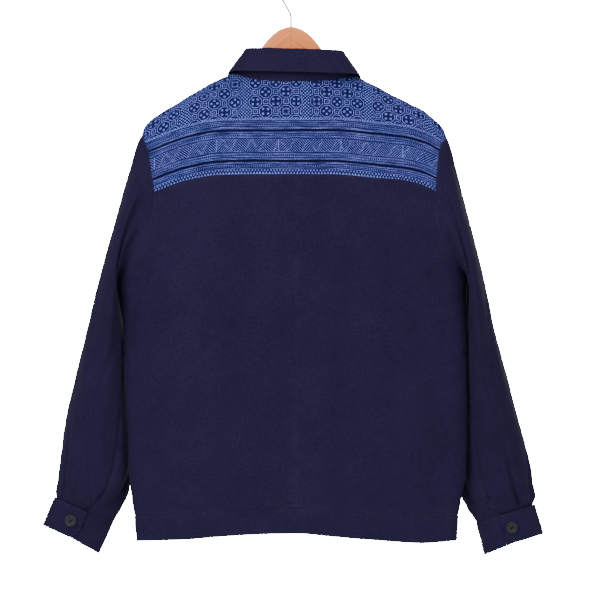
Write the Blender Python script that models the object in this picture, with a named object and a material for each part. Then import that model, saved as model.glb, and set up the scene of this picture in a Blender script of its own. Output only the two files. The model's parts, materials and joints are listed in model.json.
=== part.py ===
"""Indigo cotton jacket with a batik back yoke, hanging on a wooden hanger.

The back of the jacket faces -Y, +X is the wearer's right and +Z is up. The origin is
the inner top of the hanger's hook. Sizes are in millimetres, and `drop` is the distance
below the origin. Each cloth piece is a thin wall on one shared body surface.
"""

import math
from collections import namedtuple

import bmesh
import bpy
import numpy as np
from mathutils import Matrix, Vector
from mathutils.geometry import delaunay_2d_cdt

MM = 0.001
WALL = 1.5  # one layer of the cotton
DOUBLE = 2.4  # collar, cuffs, waistband and placket, two layers
GAP = 0.3  # between neighbouring pieces
MESH_STEP = 25.0  # spacing of the points inside a panel

# The body's section is a flat rounded loop of this power, crowded towards its sides.
SIDE_POWER = 2.2
SIDE_CROWD = 0.35
GIRTH_QUARTER = 275.0  # half of the back's width, measured over the cloth
RIDGE_DROP = 120.0  # height over which the cloth swells out below the shoulder ridge

CENTRE = 5.0  # centre line of the neck
CENTRE_BACK = 6.5  # centre-back seam and front edge
NECK_HALF = 88.0
NECK_BACK_DROP = 163.5  # neck seam at the centre back
NECK_FRONT_FALL = 85.0  # how far it falls from the sides of the neck to the front
YOKE_WRAP = 30.0  # how far the yoke comes forward over the ridge
PLACKET_HALF = 16.0
PLACKET_CLEAR = 1.4  # between the placket and the right front below it
PLACKET_BELOW_NECK = 2.0
DIP_FULL, DIP_REACH = 44.0, 84.0  # where the right front sinks below the placket
HEM_BAND = 38.0
HEM_PROUD = 0.4  # the doubled band stands this far out of the cloth above it
CUFF_HEIGHT = 46.5
CUFF_HALF_DEPTH = 29.0
CUFF_CLEAR = 0.6  # the cuff stands this far proud of the sleeve's end
TAB_CLIP = 11.0  # clipped corner of the cuff's tab, along the edge
TAB_CLIP_RISE = 9.4

BUTTON_RADIUS = 9.2
BUTTON_THICK = 3.2
BUTTON_HOLE_RADIUS = 1.1
BUTTON_HOLE_APART = 3.4
BUTTON_SIDES = 12
BUTTON_TWIST = math.radians(40)
BEND_CLEAR = 0.1  # extra room below a button where its seat bends
FRONT_BUTTON_DROPS = (262, 350, 438, 526, 614, 702, 790)

HANGER_HALF_THICK = 6.0
HANGER_REACH = 202.0
HANGER_TIP = 12.0
HANGER_EASE = 1.1  # room for the bend of the cloth over the arms
HANGER_DIP = 4.0  # the arms pass a little lower below the collar
HANGER_DIP_HALF, HANGER_DIP_FADE = 98.0, 27.0
HANGER_BAR = 38.0  # height of the bar below the ridge at its middle
HANGER_TAPER = 14.0  # the bar is this much lower in height at its ends
ARCH_HALF = 60.0  # half width of the arch below the middle
ARCH_DROP = 147.0
ARCH_CURVE = 0.0035
HEAD_RADIUS = 42.0
HEAD_TOP = 80.5
WIRE_RADIUS = 1.6
HOOK_INNER_RADIUS = 19.5
STEM_KINK_DROP = 63.0
STEM_DEPTH = 26.0

NAVY = (0.021, 0.020, 0.052, 1)
BATIK = (0.075, 0.125, 0.40, 1)
WOOD = (0.62, 0.30, 0.13, 1)
STEEL = (0.45, 0.45, 0.46, 1)
BUTTON_BROWN = (0.035, 0.032, 0.045, 1)

Ridge = namedtuple("Ridge", "x drop")
RIDGE = [
    Ridge(-228.5, 251),
    Ridge(-225.6, 243.9),
    Ridge(-221, 232),
    Ridge(-210, 220.5),
    Ridge(-189, 205.5),
    Ridge(-165, 190.5),
    Ridge(-138, 175.5),
    Ridge(-109, 160.5),
    Ridge(-84, 148),
    Ridge(-42, 125),
    Ridge(0, 104),
    Ridge(44, 125),
    Ridge(90, 150),
    Ridge(108, 160.5),
    Ridge(136.5, 175.5),
    Ridge(169, 190.5),
    Ridge(197, 205.5),
    Ridge(215, 220.5),
    Ridge(227.5, 234),
    Ridge(233.4, 246),
    Ridge(236.5, 253),
]

Level = namedtuple("Level", "drop left right back front")
LEVELS = [
    Level(100, -252, 261, 48, 46),
    Level(250, -252, 261, 48, 46),
    Level(345, -255, 261, 49, 47),
    Level(420, -262, 262, 50, 48),
    Level(457, -262.5, 262.5, 50, 48),
    Level(485, -256.5, 261, 50, 48),
    Level(530, -250.7, 263.5, 49, 47),
    Level(581, -249.9, 264, 48, 46),
    Level(641, -247.5, 263, 46, 44),
    Level(686, -244.5, 261, 44, 42),
    Level(746, -243, 259, 42, 40),
    Level(779, -240, 252.5, 41, 39),
    Level(815, -235.5, 247.5, 40, 38),
    Level(860, -231, 245.5, 39, 37),
]

Edge = namedtuple("Edge", "drop reach")
ARMHOLE = {
    -1: [
        Edge(243.9, 225.6),
        Edge(265.5, 214.5),
        Edge(292.5, 210.5),
        Edge(328.5, 205.5),
        Edge(355.5, 208.5),
        Edge(385.5, 215.5),
        Edge(408, 223.5),
        Edge(430.5, 235.5),
        Edge(447, 249),
        Edge(456, 262.5),
    ],
    1: [
        Edge(246, 233.4),
        Edge(264, 223),
        Edge(300, 218.5),
        Edge(327, 216.5),
        Edge(352, 215),
        Edge(380, 217.5),
        Edge(404, 224),
        Edge(426, 236),
        Edge(446, 250.5),
        Edge(457, 262.5),
    ],
}

Seam = namedtuple("Seam", "x drop")
YOKE_SEAM = [
    Seam(-206, 328.5),
    Seam(-184, 320),
    Seam(-157, 311),
    Seam(-106, 303),
    Seam(-46, 302),
    Seam(57, 302),
    Seam(123, 307),
    Seam(170, 311),
    Seam(196, 317.5),
    Seam(217, 327),
]
HEM_EDGE = [
    Seam(-262, 853),
    Seam(-231, 852),
    Seam(-167, 850),
    Seam(-106, 845),
    Seam(-30, 841),
    Seam(15, 840.5),
    Seam(57, 844.5),
    Seam(129, 850.5),
    Seam(200, 855),
    Seam(262, 850),
]

# Soft vertical folds of the body: a positive depth is a trough.
Fold = namedtuple("Fold", "face x_top drop_top x_end drop_end width depth")
FOLDS = [
    Fold(-1, -70, 360, -84, 730, 26, 5),
    Fold(-1, 98, 350, 112, 680, 30, 5),
    Fold(-1, -172, 440, -184, 640, 22, 5),
    Fold(-1, 190, 430, 200, 650, 20, 4),
    Fold(-1, -120, 400, -134, 800, 30, -4),
    Fold(-1, 60, 420, 66, 800, 28, -4),
    Fold(-1, 150, 380, 160, 760, 26, -4),
    Fold(1, -96, 300, -108, 700, 28, 5),
    Fold(1, 110, 310, 126, 730, 26, 5),
    Fold(1, -178, 420, -186, 700, 22, 4),
    Fold(1, 184, 430, 196, 720, 24, 4),
    Fold(1, 62, 420, 58, 780, 26, -4),
]

# Sleeve sections from the armhole to the cuff seam.
Ring = namedtuple("Ring", "out_x out_drop in_x in_drop depth forward")
SLEEVES = {
    -1: [
        Ring(225.6, 243.9, 262.5, 456, 31, 0),
        Ring(233, 262, 264.3, 452.5, 37, 1),
        Ring(241, 290, 266.5, 458, 45, 4),
        Ring(253, 330, 265, 470, 54, 9),
        Ring(267, 380, 260.5, 487, 61, 15),
        Ring(281, 432, 256, 508, 65, 21),
        Ring(295, 488, 251.5, 535, 66, 26),
        Ring(308, 542, 248.5, 570, 66, 30),
        Ring(322, 596, 246.5, 612, 63, 33),
        Ring(334.5, 648, 244, 658, 59, 35),
        Ring(343, 696, 241.5, 704, 54, 36),
        Ring(349, 738, 241, 744, 49, 36),
        Ring(352.5, 766, 243, 776, 44, 36),
        Ring(354.5, 779, 254, 803, 38, 36),
        Ring(352.6, 787.2, 267.3, 824.6, CUFF_HALF_DEPTH, 36),
    ],
    1: [
        Ring(233.4, 246, 262.5, 457, 31, 0),
        Ring(240, 264, 264.3, 453.5, 37, 1),
        Ring(247.5, 292, 267, 459, 45, 4),
        Ring(258, 332, 268, 471, 54, 9),
        Ring(271.5, 382, 267.5, 488, 61, 15),
        Ring(284, 433, 266, 509, 65, 21),
        Ring(296.5, 489, 264.5, 536, 66, 26),
        Ring(307.5, 542, 262.5, 571, 66, 30),
        Ring(322.5, 596, 261, 613, 63, 33),
        Ring(337, 648, 260, 659, 59, 35),
        Ring(349.5, 696, 257.5, 705, 54, 36),
        Ring(358.5, 738, 256, 745, 49, 36),
        Ring(362.5, 768, 256, 780, 44, 36),
        Ring(365.5, 786, 266, 803, 38, 36),
        Ring(364, 798, 278.4, 823.5, CUFF_HALF_DEPTH, 36),
    ],
}
# Columns of a sleeve between its underarm, yoke corner, ridge and front yoke corner.
SLEEVE_COLUMNS = (8, 5, 2, 12)
SLEEVE_ROWS = (0, 0.35, 0.8, 1.4, 2.2, 3.2, 4.4, 5.8, 7.2, 8.6, 10, 11, 11.8, 12.5, 13.2, 14)
ARMHOLE_FADE = 5.0  # rings over which the armhole's own curve fades out
UNDERARM_DROP = 445.0  # below this the armhole runs across rather than down

# Soft folds of a sleeve: rows are ring numbers, turns are fractions round from the underarm.
SleeveFold = namedtuple("SleeveFold", "row_top turn_top row_end turn_end width depth")
SLEEVE_FOLDS = [
    SleeveFold(0.4, 0.27, 4.5, 0.19, 0.035, 6),
    SleeveFold(5.5, 0.33, 9.5, 0.24, 0.05, 4),
    SleeveFold(4.0, 0.72, 9.0, 0.80, 0.05, 4),
]
Pleat = namedtuple("Pleat", "turn row_top width depth")
PLEAT_EASE, PLEAT_LEAST = 0.8, 0.35  # a pleat flattens over its last rings to this share
PLEATS = [
    Pleat(0.345, 9.5, 0.022, 5),
    Pleat(0.43, 9.8, 0.022, 5),
    Pleat(0.60, 10.2, 0.022, 4),
]

# Collar by its place round the neck, 0 at the centre back and 1 at the centre front.
CollarRow = namedtuple("CollarRow", "place top_x top_y top_drop edge_x edge_y edge_drop")
COLLAR = [
    CollarRow(0.00, 0, -36.5, 118.5, 0, -52, 149),
    CollarRow(0.15, 38, -35.5, 118.5, 45, -51, 149),
    CollarRow(0.25, 57, -32.5, 118.5, 68, -47, 149),
    CollarRow(0.35, 67.5, -25, 119, 86, -38, 149),
    CollarRow(0.45, 72, -9, 121.5, 97, -21, 150),
    CollarRow(0.50, 73, 3, 124.5, 101, -5, 151.5),
    CollarRow(0.55, 73, 14, 131.5, 102, 17, 158),
    CollarRow(0.60, 71, 24, 143, 99, 35, 175),
    CollarRow(0.65, 68, 31, 156, 95, 43, 196),
    CollarRow(0.70, 62.5, 36, 168.5, 88, 48, 216),
    CollarRow(0.80, 46, 40.5, 188, 74, 53, 240),
    CollarRow(0.90, 24, 43, 200.5, 61, 55, 255),
    CollarRow(1.00, 2.0, 43.5, 205, 50, 55, 262),
]
COLLAR_TILT = 0.025  # the wearer's right side hangs a little lower
FALL_ROUND = 4.2  # outer radius of the fold
FALL_BULGE = 2.5


def monotone(xs, ys):
    """A smooth curve through rising xs that never overshoots its points."""
    xs = np.asarray(xs, float)
    ys = np.asarray(ys, float)
    run = np.diff(xs)
    slope = np.diff(ys) / run
    bend = np.zeros(len(xs))
    same = slope[:-1] * slope[1:] > 0
    first = 2 * run[1:] + run[:-1]
    last = run[1:] + 2 * run[:-1]
    safe = np.where(same, slope[:-1] * slope[1:], 1)
    bend[1:-1] = np.where(
        same, (first + last) * safe / (first * slope[1:] + last * slope[:-1] + (~same)), 0
    )
    bend[0], bend[-1] = slope[0], slope[-1]

    def value(at):
        at = np.asarray(at, float)
        i = np.clip(np.searchsorted(xs, at) - 1, 0, len(xs) - 2)
        t = np.clip((at - xs[i]) / run[i], -1, 2)
        inside = np.clip(t, 0, 1)
        a = (1 + 2 * inside) * (1 - inside) ** 2
        b = inside * (1 - inside) ** 2
        c = inside**2 * (3 - 2 * inside)
        d = inside**2 * (inside - 1)
        on = a * ys[i] + b * run[i] * bend[i] + c * ys[i + 1] + d * run[i] * bend[i + 1]
        return on + (t - inside) * run[i] * np.where(t < 0, bend[i], bend[i + 1])

    return value


def column(rows, key, name):
    """One named column of a table as a smooth curve over another."""
    return monotone([getattr(r, key) for r in rows], [getattr(r, name) for r in rows])


ridge_drop = column(RIDGE, "x", "drop")
left_edge = column(LEVELS, "drop", "left")
right_edge = column(LEVELS, "drop", "right")
back_depth = column(LEVELS, "drop", "back")
front_depth = column(LEVELS, "drop", "front")
yoke_seam = column(YOKE_SEAM, "x", "drop")
hem_edge = column(HEM_EDGE, "x", "drop")


def hem_seam(x):
    return hem_edge(x) - HEM_BAND


def section_table(count=400):
    """Girth fraction, sideways and depthwise place along a quarter of the body's section."""
    angle = np.linspace(0, math.pi / 2, count)
    across = np.sin(angle) ** (2 / SIDE_POWER)
    deep = np.cos(angle) ** (2 / SIDE_POWER)
    ratio = LEVELS[4].back / LEVELS[4].right
    arc = np.concatenate([[0], np.cumsum(np.hypot(np.diff(across), ratio * np.diff(deep)))])
    girth = (1 - SIDE_CROWD) * arc / arc[-1] + SIDE_CROWD * angle / angle[-1]
    return girth, across, deep


GIRTH, ACROSS, DEEP = section_table()


def ridge_table(count=300):
    """Distance over the cloth, drop and depth fraction below the shoulder ridge."""
    angle = np.linspace(0, math.pi / 2, count)
    drop = RIDGE_DROP * (1 - np.cos(angle))
    out = np.sin(angle)
    step = np.hypot(np.diff(drop), LEVELS[0].back * np.diff(out))
    return np.concatenate([[0], np.cumsum(step)]), drop, out


OVER, OVER_DROP, OVER_OUT = ridge_table()


def swell(below):
    """Depth fraction at a drop below the ridge."""
    return np.interp(np.maximum(below, 0), OVER_DROP, OVER_OUT)


def drop_over(over):
    """Drop below the ridge at a distance measured over the cloth."""
    extra = np.maximum(np.abs(over) - OVER[-1], 0)
    return np.interp(np.abs(over), OVER, OVER_DROP) + extra


def over_drop(below):
    extra = np.maximum(below - OVER_DROP[-1], 0)
    return np.interp(below, OVER_DROP, OVER) + extra


def fold_depth(x, drop, face):
    total = np.zeros(np.broadcast(x, drop).shape)
    for fold in FOLDS:
        along = (drop - fold.drop_top) / (fold.drop_end - fold.drop_top)
        side = (x - fold.x_top - along * (fold.x_end - fold.x_top)) / fold.width
        ends = np.clip(4 * along * (1 - along), 0, 1)
        total = total + np.where(face == fold.face, fold.depth * ends * np.exp(-(side**2)), 0)
    return total


def body_depth(x, drop, face, deep):
    """Distance of the cloth in front of (face 1) or behind (face -1) the ridge plane."""
    most = np.where(face > 0, front_depth(drop), back_depth(drop))
    return deep * (most * swell(drop - ridge_drop(x)) - fold_depth(x, drop, face))


def half_width(sign, drop):
    """Width of the body from its centre-back line to one side."""
    return np.where(sign < 0, CENTRE_BACK - left_edge(drop), right_edge(drop) - CENTRE_BACK)


def across_at(x, drop):
    """Place across the body, from -1 at the left side to 1 at the right side."""
    return np.clip((x - CENTRE_BACK) / half_width(x - CENTRE_BACK, drop), -1, 1)


def deep_at(x, drop):
    return (1 - np.abs(across_at(x, drop)) ** SIDE_POWER) ** (1 / SIDE_POWER)


def shoulder_point(x, over):
    """Point of the upper body: over is negative in front of the ridge, positive behind."""
    face = np.where(over < 0, 1, -1)
    drop = ridge_drop(x) + drop_over(over)
    y = face * body_depth(x, drop, face, deep_at(x, drop))
    return np.stack([x + 0 * y, y, -drop], -1)


def girth_point(girth, drop):
    """Point of the lower body: girth is 0 at the centre back, 1 at a side, 2 in front."""
    size = np.abs(girth)
    face = np.where(size > 1, 1, -1)
    quarter = np.where(size > 1, np.abs(2 - size), size)
    side = np.sign(girth) * np.where(size > 2, -1, 1)
    x = CENTRE_BACK + side * np.interp(quarter, GIRTH, ACROSS) * half_width(side, drop)
    y = face * body_depth(x, drop, face, np.interp(quarter, GIRTH, DEEP))
    return np.stack([x, y, -drop], -1)


def girth_at(x, drop, face):
    across = across_at(x, drop)
    quarter = np.interp(np.abs(across), ACROSS, GIRTH)
    return np.where(across < 0, -1, 1) * np.where(face > 0, 2 - quarter, quarter)


def unit(v):
    return v / np.maximum(np.linalg.norm(v, axis=-1, keepdims=True), 1e-12)


def normals(point, a, b, step_a, step_b):
    """Outward unit normals of a surface whose b runs down and whose a runs across."""
    along_a = point(a + step_a, b) - point(a - step_a, b)
    along_b = point(a, b + step_b) - point(a, b - step_b)
    return unit(np.cross(along_b, along_a))


def yoke_map(a, b):
    return shoulder_point(a, b), normals(shoulder_point, a, b, 0.8, 0.8)


def panel_map(a, b):
    girth = a / GIRTH_QUARTER
    return girth_point(girth, b), normals(girth_point, girth, b, 0.003, 0.8)


# Solids from sheets of points


def material(name, colour, roughness, metallic=0.0):
    made = bpy.data.materials.new(name)
    made.use_nodes = True
    shader = made.node_tree.nodes["Principled BSDF"]
    shader.inputs["Base Color"].default_value = colour
    shader.inputs["Roughness"].default_value = roughness
    shader.inputs["Metallic"].default_value = metallic
    made.diffuse_color = colour
    return made


def finish(mesh_builder, name, made, sharp=40):
    bmesh.ops.recalc_face_normals(mesh_builder, faces=mesh_builder.faces)
    mesh = bpy.data.meshes.new(name)
    mesh_builder.to_mesh(mesh)
    mesh_builder.free()
    mesh.materials.append(made)
    mesh.shade_smooth()
    mesh.set_sharp_from_angle(angle=math.radians(sharp))
    obj = bpy.data.objects.new(name, mesh)
    bpy.context.scene.collection.objects.link(obj)
    return obj


def wall_solid(name, outer, inner, faces, made):
    """A closed wall between two sheets of points that share their faces."""
    count = len(outer)
    build = bmesh.new()
    for p in np.concatenate([outer, inner]) * MM:
        build.verts.new(p)
    build.verts.ensure_lookup_table()
    once = {}
    for face in faces:
        build.faces.new([build.verts[i] for i in face])
        build.faces.new([build.verts[i + count] for i in reversed(face)])
        for a, b in zip(face, face[1:] + face[:1]):
            once[frozenset((a, b))] = None if frozenset((a, b)) in once else (a, b)
    for edge in filter(None, once.values()):
        a, b = edge
        build.faces.new([build.verts[i] for i in (b, a, a + count, b + count)])
    return finish(build, name, made)


def grid_faces(rows, columns):
    at = np.arange(rows * columns).reshape(rows, columns)
    corners = np.stack([at[:-1, :-1], at[:-1, 1:], at[1:, 1:], at[1:, :-1]], -1)
    return [tuple(int(i) for i in face) for face in corners.reshape(-1, 4)]


def grid_wall(name, outer, inner, made):
    faces = grid_faces(*outer.shape[:2])
    return wall_solid(name, outer.reshape(-1, 3), inner.reshape(-1, 3), faces, made)


def inside_points(outline, step, rows, clear):
    """Staggered points inside a flat outline, clear of its edge."""
    low, high = outline.min(0), outline.max(0)
    if rows is None:
        rows = np.arange(low[1], high[1], step * math.sqrt(3) / 2)
    found = []
    for i, v in enumerate(rows):
        for u in np.arange(low[0] + (i % 2) * step / 2, high[0], step):
            found.append((u, v))
    spots = np.array(found)
    start, end = outline, np.roll(outline, -1, 0)
    run = end - start
    away = spots[:, None] - start[None]
    t = np.clip((away * run).sum(-1) / (run**2).sum(-1), 0, 1)
    near = np.linalg.norm(away - t[..., None] * run, axis=-1).min(1)
    crosses = (start[:, 1] > spots[:, None, 1]) != (end[:, 1] > spots[:, None, 1])
    rise = np.where(run[:, 1] == 0, 1, run[:, 1])
    hit = start[:, 0] + away[..., 1] * run[:, 0] / rise
    within = (crosses & (hit > spots[:, None, 0])).sum(1) % 2 == 1
    return spots[within & (near > clear * step)]


def panel(name, outline, surface, made, dip=None, rows=None, clear=0.6):
    """A cloth piece: a flat outline filled with triangles and laid on the body's surface."""
    edge = np.array(outline)
    spots = inside_points(edge, MESH_STEP, rows, clear)
    flat = [Vector(p) for p in np.concatenate([edge, spots])]
    verts, _, faces, *_ = delaunay_2d_cdt(flat, [], [list(range(len(edge)))], 1, 1e-4)
    flat = np.array([tuple(v) for v in verts])
    points, out = surface(flat[:, 0], flat[:, 1])
    sunk = np.broadcast_to(dip(points) if dip else 0.0, len(points))[:, None]
    outer = points - out * sunk
    inner = outer - out * WALL
    return wall_solid(name, outer, inner, [tuple(f) for f in faces], made)


def spread(start, end, step=MESH_STEP):
    """Evenly spaced values from start up to, but not including, end."""
    count = max(1, round(abs(end - start) / step))
    return np.linspace(start, end, count, endpoint=False)


# Armhole edges


def armhole_curve(side):
    """The armhole from its ridge tip (0) to the underarm (1), as smooth x and drop."""
    rows = ARMHOLE[side]
    steps = [math.dist(a, b) for a, b in zip(rows, rows[1:])]
    place = np.concatenate([[0], np.cumsum(steps)]) / sum(steps)
    reach = monotone(place, [side * r.reach for r in rows])
    drop = monotone(place, [r.drop for r in rows])
    return reach, drop


def place_where(test, low=0.0, high=1.0):
    """Place on a curve where a rising test changes sign."""
    for _ in range(40):
        middle = (low + high) / 2
        if test(middle) > 0:
            high = middle
        else:
            low = middle
    return (low + high) / 2


def armhole_points(side):
    """Armhole sample points in the order underarm, back, ridge, front, underarm."""
    reach, drop = armhole_curve(side)
    back = place_where(lambda q: drop(q) - yoke_seam(reach(q)))
    front = place_where(lambda q: drop(q) - ridge_drop(reach(q)) - drop_over(YOKE_WRAP))
    stops = (1, back, 0, front, 1)
    places, faces = [], []
    for i, count in enumerate(SLEEVE_COLUMNS):
        places += list(np.linspace(stops[i], stops[i + 1], count, endpoint=False))
        faces += [-1 if i < 2 else 1] * count
    places.append(1.0)
    faces.append(1)
    places, faces = np.array(places), np.array(faces)
    x, z = reach(places), drop(places)
    over = -faces * over_drop(z - ridge_drop(x))
    upper_points, upper_normals = yoke_map(x, over)
    girth = girth_at(x, z, faces) * GIRTH_QUARTER
    girth[0] = side * GIRTH_QUARTER
    girth[-1] = side * GIRTH_QUARTER
    lower_points, lower_normals = panel_map(girth, z)
    upper = np.arange(len(x))
    on_yoke = (upper >= SLEEVE_COLUMNS[0]) & (upper <= sum(SLEEVE_COLUMNS[:3]))
    point = np.where(on_yoke[:, None], upper_points, lower_points)
    normal = np.where(on_yoke[:, None], upper_normals, lower_normals)
    away = unit(np.cross(unit(np.gradient(point, axis=0)), normal))
    leaving = np.where(z > UNDERARM_DROP, away[:, 2], side * away[:, 0])
    away = away * np.where(leaving < 0, -1, 1)[:, None]
    away[[0, -1]] = [0, 0, 1]
    return {"point": point, "away": away, "x": x, "drop": z, "over": over, "girth": girth}


ARMHOLES = {side: armhole_points(side) for side in (-1, 1)}


def arm_slice(side, start, end):
    """Armhole samples between two of its corners, by their index in SLEEVE_COLUMNS."""
    at = np.concatenate([[0], np.cumsum(SLEEVE_COLUMNS)])
    return slice(at[start], at[end] + 1)


# Neck edge


def neck_edge(place):
    """Neck seam by its place, 0 at the centre back and -1 or 1 at the centre front."""
    angle = np.asarray(place, float) * math.pi
    x = CENTRE + NECK_HALF * np.sin(angle)
    lean = np.cos(angle)
    left, right = ridge_drop(CENTRE - NECK_HALF), ridge_drop(CENTRE + NECK_HALF)
    side_drop = (left + right) / 2 + (right - left) / 2 * np.sin(angle)
    fall = np.where(lean > 0, (NECK_BACK_DROP - side_drop) * lean, -NECK_FRONT_FALL * lean)
    over = over_drop(np.maximum(side_drop + fall - ridge_drop(x), 0))
    return x, np.where(lean >= 0, over, -over)


def neck_place_at_yoke():
    """Place on the neck seam where the yoke's front seam meets it."""
    return place_where(lambda place: -neck_edge(place)[1] - YOKE_WRAP, 0.5, 0.8)


def neck_places(start, end):
    """Sample places round the neck, shared by every piece that meets its seam."""
    corner = neck_place_at_yoke()
    front = np.linspace(corner, 1, 9)
    every = np.concatenate([-front[::-1], np.linspace(-corner, corner, 25)[1:-1], front])
    return every[(every > start - 1e-6) & (every < end + 1e-6)]


# Body pieces

# Rows of the yoke's own points, closer together where it bends over the ridge.
YOKE_ROWS = (-22, -14.5, -7, 0, 7, 14.5, 22, 31, 42, 56, 74, 96, 118, 140, 162, 184)


def make_yoke(made):
    left, right = ARMHOLES[-1], ARMHOLES[1]
    corner = neck_place_at_yoke()
    neck_x, neck_over = neck_edge(neck_places(-corner, corner))
    half = GAP / 2
    upper = arm_slice(-1, 1, 3)
    left_x, left_over = left["x"][upper][::-1], left["over"][upper][::-1].copy()
    right_x, right_over = right["x"][upper], right["over"][upper].copy()
    left_over[0] += half
    right_over[-1] += half
    left_over[-1] -= half
    right_over[0] -= half
    outline = [(x, -YOKE_WRAP + half) for x in spread(left_x[0], neck_x[0])]
    neck_over = neck_over.copy()
    neck_over[[0, -1]] = -YOKE_WRAP + half
    outline += list(zip(neck_x, neck_over))
    outline += [(x, -YOKE_WRAP + half) for x in spread(neck_x[-1], right_x[-1])[1:]]
    outline += list(zip(right_x, right_over))[::-1]
    for x in spread(right_x[0], left_x[-1])[1:]:
        outline.append((x, over_drop(yoke_seam(x) - ridge_drop(x)) - half))
    outline += list(zip(left_x, left_over))[::-1][:-1]
    return panel("yoke", outline, yoke_map, made, rows=YOKE_ROWS, clear=0.22)


def girth_line(x_values, drop_at, face, shift):
    """Outline points along a seam given over x."""
    drops = drop_at(x_values)
    return list(zip(girth_at(x_values, drops, face) * GIRTH_QUARTER, drops + shift))


def hem_row(start, end):
    """Girths and drops along the waistband's seam between two vertical lines."""
    girths = np.append(spread(start, end, 20), end)
    drops = np.full(len(girths), 800.0)
    for _ in range(8):
        drops = hem_seam(girth_point(girths / GIRTH_QUARTER, drops)[:, 0])
    return girths, drops


def centre_girth(x, face, side):
    """Girth of a straight vertical line at x, seen from its own side at the front."""
    value = float(girth_at(np.float64(x), np.float64(600.0), face)) * GIRTH_QUARTER
    if face > 0 and value * side < 0:
        value = side * (4 * GIRTH_QUARTER - abs(value))
    return value


def make_back(side, name, made):
    half = GAP / 2
    arm = ARMHOLES[side]
    part = arm_slice(side, 0, 1)
    middle = centre_girth(CENTRE_BACK, -1, side) + side * half
    corner_x = arm["x"][part][-1]
    top_x = spread(CENTRE_BACK + side * half, corner_x)
    outline = girth_line(top_x, yoke_seam, -1, half)
    outline[0] = (middle, outline[0][1])
    armhole = list(zip(arm["girth"][part], arm["drop"][part]))[::-1]
    armhole[0] = (armhole[0][0], armhole[0][1] + half)
    edge = side * (GIRTH_QUARTER - half)
    armhole[-1] = (edge, armhole[-1][1])
    outline += armhole
    girths, drops = hem_row(edge, middle)
    hem = list(zip(girths, drops - half))
    outline += [(edge, d) for d in spread(armhole[-1][1], hem[0][1])[1:]]
    outline += hem
    outline += [(middle, d) for d in spread(hem[-1][1], outline[0][1])[1:]]
    return panel(name, outline, panel_map, made)


def under_placket(points):
    """How far the wearer's right front sinks where it passes below the placket."""
    ease = np.clip((CENTRE_BACK + DIP_REACH - points[:, 0]) / (DIP_REACH - DIP_FULL), 0, 1)
    return (DOUBLE + PLACKET_CLEAR) * ease * ease * (3 - 2 * ease)


def neck_front_outline(side, end_x):
    """Front neck seam from the yoke's front corner down to a vertical line."""
    end = place_where(lambda p: side * (end_x - neck_edge(side * p)[0]), 0.6, 1.2)
    places = side * neck_places(neck_place_at_yoke(), min(end, 1))
    if abs(end - abs(places[-1])) > 0.01:
        places = np.append(places, side * end)
    x, over = neck_edge(places)
    drop = ridge_drop(x) + drop_over(over)
    return x, drop


def make_front(side, name, made):
    half = GAP / 2
    arm = ARMHOLES[side]
    part = arm_slice(side, 3, 4)
    front_x = CENTRE_BACK - PLACKET_HALF + (-half if side < 0 else 2.0)
    middle = centre_girth(front_x, 1, side)
    corner_x = arm["x"][part][0]

    def front_seam(x):
        return ridge_drop(x) + drop_over(YOKE_WRAP)

    neck_x, neck_drop = neck_front_outline(side, front_x)
    outline = girth_line(spread(corner_x, neck_x[0])[1:], front_seam, 1, half)
    neck_girth = girth_at(neck_x, neck_drop, 1) * GIRTH_QUARTER
    beyond = neck_girth * side < 0
    neck_girth = np.where(beyond, side * (4 * GIRTH_QUARTER - np.abs(neck_girth)), neck_girth)
    neck = list(zip(neck_girth, neck_drop))
    neck[0] = (neck[0][0], neck[0][1] + half)
    neck[-1] = (middle, neck[-1][1])
    outline += neck
    edge = side * (GIRTH_QUARTER + half)
    girths, drops = hem_row(middle, edge)
    hem = list(zip(girths, drops - half))
    outline += [(middle, d) for d in spread(neck[-1][1], hem[0][1])[1:]]
    outline += hem
    armhole = list(zip(arm["girth"][part], arm["drop"][part]))[::-1]
    armhole[0] = (edge, armhole[0][1])
    armhole[-1] = (armhole[-1][0], armhole[-1][1] + half)
    outline += [(edge, d) for d in spread(hem[-1][1], armhole[0][1])[1:]]
    outline += armhole
    return panel(name, outline, panel_map, made, dip=under_placket if side > 0 else None)


def make_placket(made):
    half = GAP / 2
    left = centre_girth(CENTRE_BACK - PLACKET_HALF + half, 1, -1)
    right = centre_girth(CENTRE_BACK + PLACKET_HALF, 1, -1)
    neck_x, neck_over = neck_edge(1.0)
    top = float(ridge_drop(neck_x) + drop_over(neck_over)) + PLACKET_BELOW_NECK
    end = float(hem_edge(CENTRE_BACK)) + half
    rows = np.append(spread(top, end), end)
    columns = np.linspace(left, right, 4)
    a, b = np.meshgrid(columns, rows)
    points, out = panel_map(a, b)
    return grid_wall("front_placket", points, points - out * DOUBLE, made)


def hem_piece(name, stops, made, dip=None):
    half = GAP / 2
    rows = [hem_row(start, end) for start, end in zip(stops, stops[1:])]
    girths, drops = np.concatenate([np.array(r)[:, bool(i) :] for i, r in enumerate(rows)], 1)
    share = np.linspace(0, 1, 3)[:, None]
    b = drops + half + (HEM_BAND - half) * share
    a = np.broadcast_to(girths, b.shape)
    points, out = panel_map(a, b)
    sunk = dip(points.reshape(-1, 3)).reshape(b.shape)[..., None] if dip else 0.0
    proud = 0.0 if dip else HEM_PROUD
    outer = points + out * (proud - sunk)
    return grid_wall(name, outer, outer - out * DOUBLE, made)


def make_hem(made):
    half = GAP / 2
    side = GIRTH_QUARTER
    hem_piece("hem_band_back", (-side + half, 0, side - half), made)
    left_end = centre_girth(CENTRE_BACK - PLACKET_HALF - half, 1, -1)
    right_end = centre_girth(CENTRE_BACK - PLACKET_HALF + 2.0, 1, 1)
    hem_piece("hem_band_front_left", (left_end, -side - half), made)
    hem_piece("hem_band_front_right", (right_end, side + half), made, dip=under_placket)


# Sleeves and cuffs


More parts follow.
